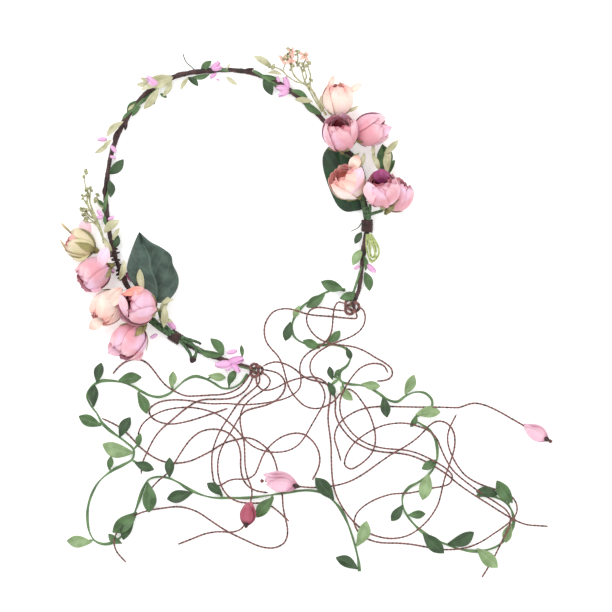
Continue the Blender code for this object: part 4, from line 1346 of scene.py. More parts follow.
@dataclass
class Bud:
    """One flower bud: outer petals, furled inner petals, and sepals at its base."""

    name: str
    centre: tuple[float, float]
    radius: float
    heading: float
    tilt: float
    look: Look
    finishes: Finishes
    outer: int = 5
    open: float = 2.42
    twist: float = 0.0
    sepals: int = 5
    sepal_end: float = 1.05
    loose: tuple["LoosePetal", ...] = ()

    def frame_of(self) -> BudFrame:
        """Where the bud sits, from its drawn place and its node's height, clear of the floor."""
        low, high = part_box(f"{self.name}_petals")
        flat = placed(self.centre)[0]
        height = max((low[2] + high[2]) / 2, self.radius * MM)
        return BudFrame(np.array((*flat, height)), self.radius * MM, self.heading, self.tilt)

    def ring_of(
        self, sheets: SheetSet, spot: BudFrame, count: int, reach: float, end: float, width: float,
        turn: float
    ) -> None:
        """Adds a ring of petals, each with one side under its neighbour.

        Args:
            sheets: where the petals go.
            spot: the bud's place.
            count: how many petals.
            reach: their distance from the centre.
            end: how far they reach towards the mouth.
            width: half of a petal's angle.
            turn: where the first one is.
        """
        random = noise_of(int(self.radius * 100 + self.heading + 10 * reach))
        for index in range(count):
            petal = Petal(
                turn=turn + 2 * math.pi * index / count + random.uniform(-0.08, 0.08),
                half_width=width,
                end=end + random.uniform(-0.10, 0.08),
                reach=reach,
                slant=0.055,
                flare=0.05 + random.uniform(0, 0.05),
                seed=index + 11,
            )
            sheets.add(petal.surface(spot))

    def sheets_for(self, part: str, finish: str, rows: int = 10, columns: int = 10) -> SheetSet:
        """Starts one of the bud's sets of sheets.

        Args:
            part: the end of its name.
            finish: the name of its finish.
            rows: how finely each sheet is divided along.
            columns: how finely it is divided across.

        Returns:
            The empty set.
        """
        return SheetSet(f"{self.name}_{part}", getattr(self.finishes, finish), rows=rows, columns=columns)

    def make(self) -> None:
        """Builds the bud's pieces."""
        spot = self.frame_of()
        turn = math.radians(self.twist)
        outer = self.sheets_for("outer_petals", self.look.outer, 12)
        self.ring_of(outer, spot, self.outer, 0.965, self.open, 0.86, turn)
        self.ring_of(outer, spot, 3, 0.915, self.open + 0.06, 1.05, turn + 0.6)
        declared(outer.build(), self.slot(), f"{self.name}_petals")
        # The inner petals and the core take darker finishes: painted shade deeper inside the bud.
        inner = self.sheets_for("inner_petals", self.look.inner, 10)
        self.ring_of(inner, spot, 4, 0.86, self.open + 0.13, 0.95, turn + 0.2)
        self.ring_of(inner, spot, 3, 0.79, self.open + 0.21, 1.2, turn + 0.9)
        heart = f"{self.name}_heart"
        nodes = [heart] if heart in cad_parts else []
        declared(inner.build(), "petal_rose", *nodes)
        core = self.sheets_for("furled_core", self.look.core, 10)
        self.ring_of(core, spot, 3, 0.70, self.open + 0.30, 1.2, turn + 1.7)
        self.ring_of(core, spot, 2, 0.58, self.open + 0.38, 1.6, turn + 0.4)
        declared(core.build(), "petal_rose")
        for index, petal in enumerate(self.loose):
            sheets = self.sheets_for(f"loose_petal_{index}", petal.finish, columns=12)
            sheets.add(petal.surface(spot))
            declared(sheets.build(), self.slot())
        self.make_sepals(spot, turn)

    def slot(self) -> str:
        """The material slot of the outer petals."""
        return {"cream": "petal_cream", "olive": "petal_olive"}.get(self.look.outer, "petal_pink")

    def make_sepals(self, spot: BudFrame, turn: float) -> None:
        """Adds the pointed sepals that hold the bud's base, and the calyx under them.

        Args:
            spot: the bud's place.
            turn: where the first sepal is.
        """
        sheets = SheetSet(f"{self.name}_sepals", self.finishes.sepal, rows=8, columns=4)
        random = noise_of(int(self.heading))
        for index in range(self.sepals):
            petal = Petal(
                turn=turn + 0.3 + 2 * math.pi * index / self.sepals,
                half_width=0.36,
                start=0.02,
                end=self.sepal_end + random.uniform(-0.12, 0.25),
                reach=1.035,
                slant=0.0,
                flare=0.05,
                point=0.97,
                seed=index + 40,
            )
            sheets.add(petal.surface(spot))
        calyx = f"{self.name}_calyx"
        nodes = [calyx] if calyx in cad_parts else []
        declared(sheets.build(), "calyx", *nodes)
        mouth = spot.axes[0]
        base = spot.centre - mouth * spot.radius * spot.long
        run = np.linspace(0.0012, -0.0042, 9)[:, None]
        radius = np.array((0.30, 1, 1.35, 1.45, 1.35, 1.1, 0.85, 0.7, 0.6)) * 0.0017
        profile = Profile(sides=12, pitch=1.0)
        cup = wound_tube(f"{self.name}_calyx_cup", base + mouth * run, radius, profile, self.finishes.calyx)
        declared(cup, "calyx")


def make_buds(finishes: Finishes) -> None:
    """Makes the eleven buds of both clusters.

    Args:
        finishes: the materials.
    """
    rows = (
        ("bud_a", (-103, -19.5), 10.0, 158, 12, PALE, {"open": 2.45, "sepal_end": 1.9, "loose": (
            LoosePetal((-96.5, -15), (-101.5, -3.5), 9, "blush", -4),
            LoosePetal((-108, -13), (-116, -5), 1.8, "olive", -5),
            LoosePetal((-109, -27), (-116.5, -16), 1.6, "olive", -5),
            LoosePetal((-94, -23), (-107, -30), 8, "olive", 1),
        )}),
        ("bud_b", (-94, -39.5), 11.2, 205, 15, PINK, {"twist": 40, "open": 2.5, "loose": (
            LoosePetal((-90, -37), (-84, -21.5), 8.5, "blush", 4),
            LoosePetal((-98, -46), (-88, -50), 7, "pink", 1),
        )}),
        ("bud_c", (-84.5, -61.5), 11.3, 232, 18, CREAM, {"twist": 15, "open": 2.55, "loose": (
            LoosePetal((-85, -63), (-74.5, -48.5), 11, "cream", 7),
            LoosePetal((-86, -68), (-96.5, -76), 8, "cream", -2),
        )}),
        ("bud_e", (-70, -84.5), 12.0, 226, 14, PINK, {"twist": 70, "open": 2.5, "sepal_end": 1.3, "loose": (
            LoosePetal((-72, -84), (-84, -92), 11, "pink", 0),
            LoosePetal((-68, -86), (-63, -97), 10, "pink", -1),
        )}),
        ("bud_f", (68.5, 76.5), 10.5, 92, 20, CREAM, {"twist": 20, "open": 2.62, "loose": (
            LoosePetal((61, 79), (65.8, 92.5), 4.5, "cream", -3),
            LoosePetal((74, 80), (84.5, 87), 5, "cream", -3),
        )}),
        ("bud_h", (90.5, 56), 11.4, 18, 16, PINK, {"twist": 35, "open": 2.5, "loose": (
            LoosePetal((82, 49), (104, 57.5), 10, "pink", 6, 3.0, -1),
            LoosePetal((88, 61), (100, 64), 7, "blush", 5),
        )}),
        ("bud_k", (107.8, 12.8), 10.6, 58, 14, PINK, {"twist": 10, "open": 2.55}),
        ("bud_i", (75, 21.5), 12.0, 128, 32, CREAM, {"open": 2.34, "twist": 25, "loose": (
            LoosePetal((76, 27), (82, 39), 8, "cream", 1),
            LoosePetal((76, 12), (84, 31), 10, "blush", 7, 3.5, -1),
        )}),
        ("bud_d", (-64, -61), 12.4, 170, 36, PINK, {"open": 2.38, "twist": 50, "loose": (
            LoosePetal((-70, -69), (-74.5, -53), 6, "blush", 5),
            LoosePetal((-74, -53.5), (-59, -49), 6, "coral", 6),
        )}),
        ("bud_g", (70, 53.5), 12.0, 95, 38, PINK, {"open": 2.32, "twist": 20}),
        ("bud_j", (97.5, 16), 11.8, 96, 38, PINK, {"open": 2.30, "twist": 65, "loose": (
            LoosePetal((97, 19), (97, 30), 12, "magenta", -2, 3.0, 1.0),
            LoosePetal((91, 6), (88, 21), 9, "blush", 6),
        )}),
    )
    for name, centre, radius, heading, tilt, look, more in rows:
        Bud(name, centre, radius, heading, tilt, look, finishes, **more).make()


# ---------------------------------------------------------------------------------------------
# The ring
# ---------------------------------------------------------------------------------------------


# The ring from its left end, clockwise over the top, to its right end; a half width or depth is 1.
RING_ROUTE = (
    (0.05, -1.015), (-0.10, -0.97), (-0.25, -0.92), (-0.46, -0.82), (-0.636, -0.70), (-0.79, -0.53),
    (-0.89, -0.345), (-0.95, -0.16), (-0.985, 0.04), (-0.98, 0.23), (-0.935, 0.44), (-0.83, 0.65),
    (-0.66, 0.83), (-0.44, 0.935), (-0.17, 0.97), (0.06, 0.965), (0.28, 0.905), (0.48, 0.80),
    (0.65, 0.66), (0.81, 0.50), (0.925, 0.31), (0.985, 0.12), (1.012, -0.07), (0.985, -0.24),
    (0.965, -0.39), (0.93, -0.52),
)
HALF_WIDTH, HALF_DEPTH = 87.0, 99.0


@dataclass
class Ring:
    """The ring: its wire, the tape wound on it, and the two bindings."""

    finishes: Finishes
    tape_radius: float = 0.0018
    binding_wall: float = 0.0013
    binding_half: float = 0.0044
    binding_step: float = 0.00018
    binding_turn: float = 0.0015
    ribbon_pitch: float = 0.050
    step: float = 0.0007
    line: Points = field(init=False)

    def __post_init__(self) -> None:
        """Reads the ring's centreline."""
        drawn = np.array(RING_ROUTE) * (HALF_WIDTH, HALF_DEPTH)
        flat = smooth_route(placed(drawn), self.step)
        self.line = np.column_stack([flat, np.full(len(flat), BAND_Z)])

    def part(self, start: float, end: float) -> Points:
        """The stretch of the centreline between two shares of its length."""
        count = len(self.line)
        return self.line[int(start * count):int(end * count)].copy()

    def nearest(self, place: Sequence) -> int:
        """The index of the centreline's point next to a drawn place."""
        return int(np.linalg.norm(self.line[:, :2] - placed(place)[0], axis=1).argmin())

    def make_tape(self) -> None:
        """Winds the brown tape along the ring, and a green ribbon over it here and there."""
        path = self.part(0.022, 0.968)
        share = np.linspace(0, 1, len(path))
        waves = ((0.10, 47, 0), (0.08, 131, 1), (0.06, 290, 2))
        lumps = 1 + sum(size * np.sin(share * rate + start) for size, rate, start in waves)
        radius = self.tape_radius * lumps
        radius[:5] *= np.linspace(0.45, 0.95, 5)
        radius[-5:] *= np.linspace(0.95, 0.45, 5)
        profile = Profile(sides=18, pitch=0.0085, overlap=0.17)
        declared(wound_tube("wound_tape", path, radius, profile, self.finishes.tape), "tape", "band_tape")
        profile = Profile(sides=12, pitch=0.004, lobes=3, depth=0.06)
        wire = wound_tube("wire_core", self.part(0.008, 0.985), 0.0009, profile, self.finishes.wire)
        declared(wire, "wire", "core_wire")
        self.make_ties()
        covered = ((0.045, 0.12), (0.30, 0.335), (0.43, 0.52), (0.575, 0.60), (0.63, 0.70))
        for index, (start, end) in enumerate(covered):
            self.make_ribbon(f"ring_ribbon_{index}", start, end)

    def make_ties(self) -> None:
        """Carries the tape and a green strand on from each end of the ring into its knot."""
        for side, knot, first, last in (("left", LEFT_KNOT, 26, 6), ("right", RIGHT_KNOT, -26, -6)):
            end = np.array((*placed(knot)[0], BAND_Z))
            for index, (radius, sway) in enumerate(((0.0015, 0.0011), (0.0009, -0.0017))):
                route = np.vstack([self.line[first], self.line[last], (self.line[last] + end) / 2, end])
                route[1:3, 0] += sway
                route[:, 2] += 0.0006 * index
                finish = self.finishes.tape if index == 0 else self.finishes.vine
                strand = wound_tube(
                    f"tied_strand_{side}_{index}", smooth_route(route, 0.0007), radius,
                    Profile(sides=12, pitch=0.007, overlap=0.15), finish,
                )
                declared(strand, "tape" if index == 0 else "leaf_green")

    def make_ribbon(self, name: str, start: float, end: float) -> None:
        """Winds a flat green ribbon round a stretch of the ring in long turns.

        Args:
            name: the ribbon's name.
            start: where it starts, as a share of the ring.
            end: where it ends.
        """
        path = self.part(start, end)
        side = sideways(path)
        run = np.arange(len(path)) * self.step
        turn = run * 2 * math.pi / self.ribbon_pitch + 0.6
        reach = self.tape_radius + 0.0003
        path = path + side * (np.cos(turn) * reach)[:, None]
        path[:, 2] += np.sin(turn) * reach
        ends = np.sin(np.linspace(0, math.pi, len(path))) ** 0.35
        profile = Profile(sides=10, pitch=self.ribbon_pitch, flat=0.5)
        ribbon = wound_tube(name, path, 0.0017 * ends + 0.0002, profile, self.finishes.vine)
        declared(ribbon, "leaf_green")

    def make_binding(self, name: str, place: Sequence) -> None:
        """Winds a binding of narrow tape turns over the ring.

        Args:
            name: the binding's node.
            place: its middle, in millimetres.
        """
        middle = self.nearest(place)
        half = int(self.binding_half / self.step)
        path = smooth_route(self.line[middle - half:middle + half + 1], self.binding_step)
        run = np.arange(len(path)) * self.binding_step
        ridges = 1 - 0.1 * np.abs(np.cos(math.pi * run / self.binding_turn)) ** 2
        ends = np.clip(np.minimum(run, run[::-1]) / 0.0006, 0, 1) ** 0.5
        radius = (self.tape_radius + 0.0010 + self.binding_wall) * ridges * (0.86 + 0.14 * ends)
        profile = Profile(sides=26, pitch=0.9)
        wound = wound_tube(f"{name}_turns", path, radius, profile, self.finishes.binding)
        declared(wound, "tape", name)

    def make(self) -> None:
        """Makes the ring."""
        self.make_tape()
        self.make_binding("wrap_left", LEFT_WRAP)
        self.make_binding("wrap_right", RIGHT_WRAP)


def tangle(
    name: str, centre: Points, size: float, cord: float, finish: bpy.types.Material
) -> bpy.types.Object:
    """A tight knot: a cord that goes three times through its own loop.

    Args:
        name: the piece's name.
        centre: its middle.
        size: its outer radius.
        cord: the cord's radius.
        finish: its material.

    Returns:
        The knot.
    """
    turn = np.linspace(0, 2 * math.pi * 0.985, 150)
    scale = (size - cord) / 3
    out = 2 + np.cos(3 * turn)
    path = np.column_stack([out * np.cos(2 * turn), out * np.sin(2 * turn), 1.15 * np.sin(3 * turn)])
    profile = Profile(sides=10, pitch=0.004, lobes=2, depth=0.2)
    return wound_tube(name, centre + path * scale, cord, profile, finish)


def middle_of(node: str) -> Points:
    """The middle of a node's box."""
    low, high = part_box(node)
    return (np.array(low) + np.array(high)) / 2


def make_knots(finishes: Finishes) -> None:
    """Ties the knots at the ring's ends and on two of the cords.

    Args:
        finishes: the materials.
    """
    for node, size, cord in (
        ("knot_left", 0.0056, 0.0011), ("knot_right", 0.0062, 0.0011),
        ("charm_knot_pink", 0.0014, 0.00045), ("charm_knot_end", 0.0014, 0.00045),
    ):
        slot = "tape" if cord > 0.0005 else "cord"
        declared(tangle(f"tied_{node}", middle_of(node), size, cord, finishes.twine), slot, node)


# ---------------------------------------------------------------------------------------------
# Leaves, stems and sprigs
# ---------------------------------------------------------------------------------------------


@dataclass(frozen=True)
class BroadLeaf:
    """A broad pressed leaf between two edges that run from its base to its tip, in millimetres."""

    node: str
    slot: str
    left: tuple
    right: tuple
    lift: float
    fold: float
    waves: float

    def make(self, finish: bpy.types.Material) -> None:
        """Shapes the leaf: a folded midrib, and sides that rise and ripple.

        Args:
            finish: its material.
        """
        low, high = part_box(self.node)
        base_z = (low[2] + high[2]) / 2 + self.lift
        left, right = (smooth_route(placed(edge), 0.0004) for edge in (self.left, self.right))

        def surface(across: Points, along: Points) -> Points:
            """Places in space from the shares across and along the leaf."""
            flat = np.empty((*along.shape, 2))
            for axis in range(2):
                edges = [
                    np.interp(along, np.linspace(0, 1, len(edge)), edge[:, axis]) for edge in (left, right)
                ]
                flat[..., axis] = edges[0] + (edges[1] - edges[0]) * across
            side = 2 * across - 1
            rise = self.fold * (1 - np.exp(-np.abs(side) / 0.25)) + 0.0016 * np.sin(math.pi * along)
            vein = np.abs((along * 6 - np.abs(side) * 2.2) % 1 - 0.5)
            rise = rise - 0.00022 * np.exp(-((vein / 0.12) ** 2)) * (np.abs(side) < 0.93)
            ripple = self.waves * np.sin(along * 8.5 + side * 2.2) * np.abs(side) ** 1.5
            return np.concatenate([flat, (base_z + rise + ripple)[..., None]], -1)

        sheets = SheetSet(f"{self.node}_blade", finish, wall=0.0004, rows=28, columns=18)
        sheets.add(surface)
        declared(sheets.build(), self.slot, self.node)


LEAF_LEFT = BroadLeaf(
    "leaf_left", "leaf_dark",
    ((-53, -58.3), (-60, -55), (-66, -48), (-70.5, -41), (-71.5, -34), (-69, -25), (-66, -17),
    (-63.3, -11.5)),
    ((-53, -58.3), (-46, -58.5), (-40.5, -53.5), (-37.2, -47), (-37.5, -40), (-41, -33), (-41.8, -27),
     (-49, -21.5), (-56, -18), (-63.3, -11.5)),
    0.0002, 0.0030, 0.0011,
)
LEAF_RIGHT = BroadLeaf(
    "leaf_right", "leaf_dark",
    ((79.5, 3), (74, 2), (67.8, 6.7), (62.2, 18.9), (58.6, 31), (58.6, 40), (63, 46), (70, 48)),
    ((79.5, 3), (85.5, 4), (88, 13), (87.5, 23), (85, 32), (79, 41), (70, 48)),
    -0.0004, 0.0008, 0.0005,
)
LEAF_SIDE = BroadLeaf(
    "leaf_side", "leaf_green",
    ((99, 26), (95, 32), (94.5, 40), (98, 47)),
    ((99, 26), (104, 33), (104.5, 41), (98, 47)),
    0.0, 0.0015, 0.0006,
)


# Small leaves along the ring, in millimetres: the base and the tip of each.
BROAD_DARK = (
    (-84, 27, -74, 36.5), (-80.5, -22.5, -77.5, -13.5), (-31.5, 91.5, -24, 85.5), (19.5, 92, 24.5, 80),
    (84.5, -11.5, 79.3, -20), (-83.5, 23, -82.3, 11),
)
BROAD_MIDDLE = (
    (-65, 76, -72, 67), (86.3, -38, 90, -51), (81, -52.5, 70.5, -55.5), (72, -49.5, 57, -44.5),
    (-7.5, -93.5, -16, -82), (-87, 6, -92, 9.5), (-50, 80.5, -45.5, 78), (-22.5, 95, -15.5, 103),
)
BROAD_PALE = ((84.5, -23, 78, -34), (-41, 91.5, -60, 86.5), (-87, -12, -76.5, -3.5))
NARROW_GREEN = (
    (-62.5, 72.5, -68.5, 65.5), (-28.5, 91.5, -16.5, 93), (18, 93, 28, 90.5), (5, -95, 4.2, -87),
    (37, 83, 48, 78), (45, 76, 57, 67), (-87, 0, -86, -7), (85.8, -27, 87.2, -38), (-51, 84, -54, 73.5),
    (-22, -90, -8, -93.5), (97, 22, 106, 36),
)
NARROW_PALE = (
    (-53, 87, -66, 86.5), (-51, 85.5, -63, 83), (-42, 90, -47.5, 78.5), (-50.5, 84, -60, 70.5),
    (-31, 91, -36, 83), (-6, 92, 1.8, 86), (-5.5, 96.5, -3, 100.5), (25, 97.5, 12, 106),
    (22, 94.3, 31.5, 93.5),
    (-74, 62, -85.5, 52), (-82, 50, -88.5, 43), (-84, 48, -93, 40.5), (52, 75, 40, 76.5),
    (-81.5, -17, -76.3, -8),
    (-87, -15, -82, -25), (-66.5, 73.5, -71.3, 69), (59, 69, 57.5, 79), (-55, 88, -63, 91),
)
CLUSTER_PALE = (
    (-76.5, -44, -73.3, -31), (-60.5, -51, -63, -37), (-49, -60, -40.5, -56), (-50, -66, -44, -55),
    (-47, -75, -46, -60), (-51, -70, -41, -71), (86, 41, 82, 30), (91, 40, 96, 29), (101, 27, 102.5, 44),
    (99, 40, 108.5, 49), (93, 38, 92, 47), (83, 41, 77, 35), (62, 69, 66, 67.5), (82, 72, 75, 68),
)
TAPE_FLAGS = ((-76.5, 58, -80.3, 47), (-71.5, 63, -73.3, 55.5), (4, 95.5, 12.5, 97), (-86, 20, -87.3, 12))
# Pips: the base and the tip of each, in millimetres.
PIPS = (
    (-51, 86, -58, 91), (-52, 85.5, -58.5, 87), (-15.5, 97, -10.5, 101), (-15, 96.5, -9, 97.8),
    (-12.5, 94, -16, 91), (-10, 89.5, -12.5, 90), (-85, 50, -91, 50), (-82.3, 46, -79, 41.5),
    (-83, 39, -79.5, 37.5),
    (-88, -1, -91.5, 3), (-87.5, -2, -92, -2), (-84.5, -3.5, -80, -1), (29.5, 88, 28, 92),
    (35.5, 84, 33.5, 91),
    (36, 83.5, 28, 84.5), (36, 82.5, 29.5, 79), (83, -34, 79.5, -36), (88, -33, 93, -38),
    (1.5, -90.5, -5, -91.8),
    (-4.5, -98, 5, -96), (-2, -99, -12.5, -100), (-1.5, -99.5, -6, -103.5), (-2, -98.5, 3, -104.5),
    (-39.5, -76, -44.5, -70.5), (-51.5, -79.5, -56, -82), (-87, -34, -80, -38),
)
MAGENTA_PIPS = ((-72, -38.5, -68, -44), (-71, -38, -66.5, -40.5))


@dataclass
class Foliage:
    """Everything small that grows along the ring: leaves, pips, stems and sprigs."""

    ring: Ring
    finishes: Finishes
    scatter: ScatterTree

    def grow(
        self, name: str, pattern: bpy.types.Object, rows: Sequence, finish: bpy.types.Material,
        slot: str, lift: float = 0.0, dip: float = -0.2
    ) -> None:
        """Stands copies of a piece along the ring, each from its base to its tip.

        Args:
            name: the new piece's name.
            pattern: the piece that is copied, one metre long.
            rows: each copy's base and tip, in millimetres.
            finish: the copies' material.
            slot: the record's material slot.
            lift: how far above the ring's centre they start.
            dip: how steeply they may rise.
        """
        rows = np.array(rows, float)
        starts, ends = placed(rows[:, :2]), placed(rows[:, 2:])
        random = noise_of(len(name) + len(rows))
        run = ends - starts
        count = len(rows)
        heights = BAND_Z + lift + random.uniform(-0.0004, 0.0012, count)
        roll = random.uniform(-0.5, 0.5, count)
        pitch = random.uniform(dip, 0.02, count)
        turns = np.column_stack([roll, pitch, np.arctan2(run[:, 1], run[:, 0])])
        sizes = np.linalg.norm(run, axis=1)
        starts = np.column_stack([starts, heights])
        made = self.scatter.scatter(name, pattern, starts, turns, sizes, finish, seed=count)
        declared(made, slot)

    def make_leaves(self) -> None:
        """Makes the green and pale leaves along the ring."""
        fin = self.finishes
        broad = leaf_piece("pattern_broad", fin.leaf, 0.50, 0.52, 0.2)
        narrow = leaf_piece("pattern_narrow", fin.leaf_pale, 0.32, 0.55, 0.3)
        self.grow("ring_leaves_dark", broad, BROAD_DARK, fin.leaf_dark, "leaf_green")
        self.grow("ring_leaves_middle", broad, BROAD_MIDDLE, fin.leaf, "leaf_green")
        self.grow("ring_leaves_light", broad, BROAD_PALE[:1], fin.leaf_light, "leaf_green")
        self.grow("ring_leaves_grey", broad, BROAD_PALE[1:], fin.leaf_pale, "sprig", 0.0015)
        self.grow("ring_leaves_narrow", narrow, NARROW_GREEN, fin.leaf, "leaf_green", 0.0012)
        self.grow("ring_leaves_pale", narrow, NARROW_PALE, fin.leaf_pale, "sprig", 0.0018)
        self.grow("cluster_leaves", narrow, CLUSTER_PALE, fin.leaf_pale, "sprig", 0.008, -0.35)
        self.grow("tape_flags", narrow, TAPE_FLAGS, fin.tape, "tape", 0.0008, 0.0)
        discard(broad, narrow)

    def make_pips(self) -> None:
        """Makes the small lilac buds, each of four overlapping petals."""
        sheets = SheetSet("pattern_pip", self.finishes.pip, wall=0.03, rows=6, columns=4, smoothing=1)
        spot = BudFrame(np.array((0.5, 0, 0)), 0.27, 0, 0, 1.9)
        for index in range(4):
            petal = Petal(turn=index * math.pi / 2, half_width=0.95, end=2.7, flare=0.25, seed=index)
            sheets.add(petal.surface(spot))
        pattern = sheets.build()
        self.grow("ring_pips", pattern, PIPS, self.finishes.pip, "petal_pink", 0.0018, -0.3)
        self.grow("ring_pips_deep", pattern, MAGENTA_PIPS, self.finishes.magenta, "petal_rose", 0.004, -0.3)
        discard(pattern)

    def make_coil(self) -> None:
        """Winds the loose coil of dark wire beside the left cluster."""
        line = self.ring.line
        start, end = self.ring.nearest((-84, -21)), self.ring.nearest((-78, -44))
        fine, pitch = 0.0004, 0.0030
        stretch = smooth_route(line[min(start, end):max(start, end) + 1], fine)
        side = sideways(stretch)
        step = np.arange(len(stretch))
        pace = 1 + 0.4 * np.sin(step * 0.19) + 0.25 * np.sin(step * 0.47)
        turn = np.cumsum(pace) * fine * 2 * math.pi / pitch
        reach = 0.0033 + 0.0010 * np.sin(step * 0.31)
        path = stretch + side * (np.cos(turn) * reach + 0.0006)[:, None]
        path[:, 2] += np.sin(turn) * reach * 0.85
        path = smooth_route(path[::2], fine)
        path[:, 2] = np.maximum(path[:, 2], 0.0005)
        coil = wound_tube("wire_coil", path, 0.00052, Profile(sides=8, pitch=0.01), self.finishes.binding)
        declared(coil, "wire")

    def tube(
        self, name: str, points: Sequence, heights: Sequence, radius: float, finish: bpy.types.Material,
        slot: str, *nodes: str
    ) -> None:
        """Makes one thin stem through drawn places at given heights.

        Args:
            name: the stem's name.
            points: the places, in millimetres.
            heights: the height at each of them.
            radius: the stem's radius at its foot.
            finish: its material.
            slot: the record's material slot.
            nodes: the nodes that it stands for.
        """
        route = np.column_stack([placed(points), np.array(heights, float)])
        path = smooth_route(route, 0.0009)
        taper = 1 - 0.25 * np.linspace(0, 1, len(path))
        profile = Profile(sides=8, pitch=0.03, lobes=3, depth=0.08)
        piece = wound_tube(name, path, radius * taper, profile, finish)
        declared(piece, slot, *nodes)

    def make_bundles(self) -> None:
        """Runs the stems of both clusters along the ring and into their bindings."""
        profile = Profile(sides=9, pitch=0.03, lobes=3, depth=0.08)
        for side, wrap, feet in (
            ("left", LEFT_WRAP, ((-77, -44), (-71, -55), (-62, -66), (-57, -77))),
            ("right", RIGHT_WRAP, ((80, 33), (84, 22), (88, 12), (93, 8))),
        ):
            end = self.ring.nearest(wrap)
            for index, foot in enumerate(feet):
                start = self.ring.nearest(foot)
                stretch = self.ring.line[min(start, end):max(start, end) + 1:9].copy()
                if start > end:
                    stretch = stretch[::-1]
                if len(stretch) > 3:
                    stretch = stretch[1:]
                across = sideways(stretch)
                share = np.linspace(1, 0, len(stretch))
                offset = (index - 1.5) * 0.0021 * (0.35 + 0.65 * share)
                stretch += across * offset[:, None]
                stretch[:, 2] += 0.0012 + 0.0024 * np.minimum(share * 4, 1) + 0.0005 * (index % 2)
                path = smooth_route(stretch, 0.0009)
                stem = wound_tube(f"bundle_stem_{side}_{index}", path, 0.0011, profile, self.finishes.stem)
                declared(stem, "stem")

    def make_stems(self) -> None:
        """Makes the raised buds' stems and the folded stem ends beside the bindings."""
        fin = self.finishes
        for bud in ("bud_d", "bud_g", "bud_i", "bud_j"):
            paint(f"{bud}_stem", fin.stem)
        top = BAND_Z + self.ring.tape_radius + 0.0014
        loops = (
            ((90.3, -12.8), (94.8, -20), (95.7, -26), (92.2, -30.8), (88.6, -27), (87.4, -20),
            (87.6, -12.8)),
            ((90.3, -12.8), (93.2, -20), (93.6, -25), (91.6, -28.6), (89.8, -25), (88.9, -19),
            (88.4, -12.8)),
            ((89.6, -12.8), (91.4, -19), (93.6, -27), (91.2, -31.6), (89.4, -29), (90.2, -20),
            (89.2, -12.8)),
        )
        for index, loop in enumerate(loops):
            nodes = ["stem_fold_right"] if index == 0 else []
            rise = [top - 0.001 + 0.0011 * index] * len(loop)
            self.tube(f"folded_stem_right_{index}", loop, rise, 0.00075, fin.stem_pale, "stem", *nodes)
        folds = (
            ((-37, -83.5), (-33.5, -87), (-30, -92), (-28.5, -96), (-26.5, -95.5), (-25.5, -91)),
            ((-36, -82.5), (-31.5, -85), (-27, -87.5), (-25.5, -91.5), (-27.5, -95)),
            ((-36, -81.6), (-30, -83), (-24, -85), (-22.5, -86.2)),
        )
        for index, fold in enumerate(folds):
            nodes = ["stem_fold_left"] if index == 0 else []
            rise = [top + 0.0004 * index] * len(fold)
            self.tube(f"folded_stem_left_{index}", fold, rise, 0.00125, fin.stem, "stem", *nodes)
        knob = np.array((*placed((-28, -96.3))[0], top))
        declared(tangle("folded_stem_knob", knob, 0.0026, 0.0010, fin.binding), "tape")
        wires = (
            ((84.5, -5), (82, -8.5), (77.3, -11)),
            ((-34.7, 107.3), (-32.6, 102), (-28.5, 98), (-24, 94)),
        )
        for index, wire in enumerate(wires):
            self.tube(f"wire_end_{index}", wire, [BAND_Z] * len(wire), 0.0004, fin.wire, "wire")

    def make_sprigs(self) -> None:
        """Makes the pale branching sprigs, with round seed heads and peach florets."""
        fin = self.finishes
        low, high = BAND_Z + 0.003, BAND_Z + 0.0075
        twigs = {
            "right": (
                ((61, 66), (57, 72), (51, 83), (44, 88), (39, 93), (37, 100)),
                ((60, 67), (55, 76), (50.5, 84), (50, 90)),
                ((58, 68), (52, 78), (47, 86), (40, 88.5), (32.5, 94.5), (33.5, 100), (32.5, 103.5)),
                ((50, 82), (46, 90), (44, 97), (41, 101)), ((50, 86), (50.3, 92), (49, 97), (48.5, 101)),
                ((46, 88), (47.5, 92), (45, 100)), ((33, 94.5), (29, 97), (23, 98)),
                ((37, 99), (37.5, 104), (35.5, 110)),
                ((41, 100), (42, 104), (41, 108.5)), ((44, 97), (47, 103), (46.5, 106)),
                ((37, 101), (34, 105)),
            ),
            "left": (
                ((-87, -19), (-89, -10), (-93, 0), (-96, 8), (-95.5, 18)),
                ((-88, -14), (-92, -5), (-97, 5), (-98, 13)),
                ((-90, -8), (-95, 2), (-99, 8), (-101.3, 13)),
                ((-91, -6), (-95, -4), (-98, -1), (-100.8, 0)),
                ((-92, -4), (-97, 0), (-98.8, 3.5)), ((-95, -2), (-99.5, 1.5), (-102, 4)),
                ((-96, 8), (-98, 15), (-99.6, 22), (-99, 29)),
                ((-88, -12), (-93, -6), (-97, -5), (-99, -2.5)),
                ((-87.5, 4), (-91, 8), (-91.3, 13.5)), ((-91, 8), (-92.5, 10)),
                ((-97, 12), (-97.3, 15), (-98.5, 17)),
            ),
        }
        heads, florets = [], []
        for side, branches in twigs.items():
            for index, branch in enumerate(branches):
                nodes = [f"sprig_{side}"] if index == 0 else []
                rise = np.linspace(low, high, len(branch)) + 0.0005 * (index % 3)
                radius = 0.00075 if index < 2 else 0.00055
                self.tube(f"sprig_{side}_{index}", branch, rise, radius, fin.sprig, "sprig", *nodes)
                tip = np.array((*placed(branch[-1])[0], rise[-1]))
                side_tip = np.array((*placed(branch[-2])[0], rise[-2]))
                heads += [
                    tip,
                    tip * 0.72 + side_tip * 0.28 + (0.0011, 0.0006, 0.0008),
                    tip * 0.45 + side_tip * 0.55 - (0.001, 0, 0),
                ]
        for place in ((32, 103.5), (38, 102.3), (46.5, 105.6), (38.3, 107.8)):
            florets.append((*placed(place)[0], high + 0.0005))
        random = noise_of(21)
        seed_head = SheetSet("pattern_seed", fin.sprig, wall=0.05, rows=5, columns=4)
        ball = BudFrame(np.array((0.0, 0, 0)), 0.5, 0, 90, 1.3)
        for index in range(3):
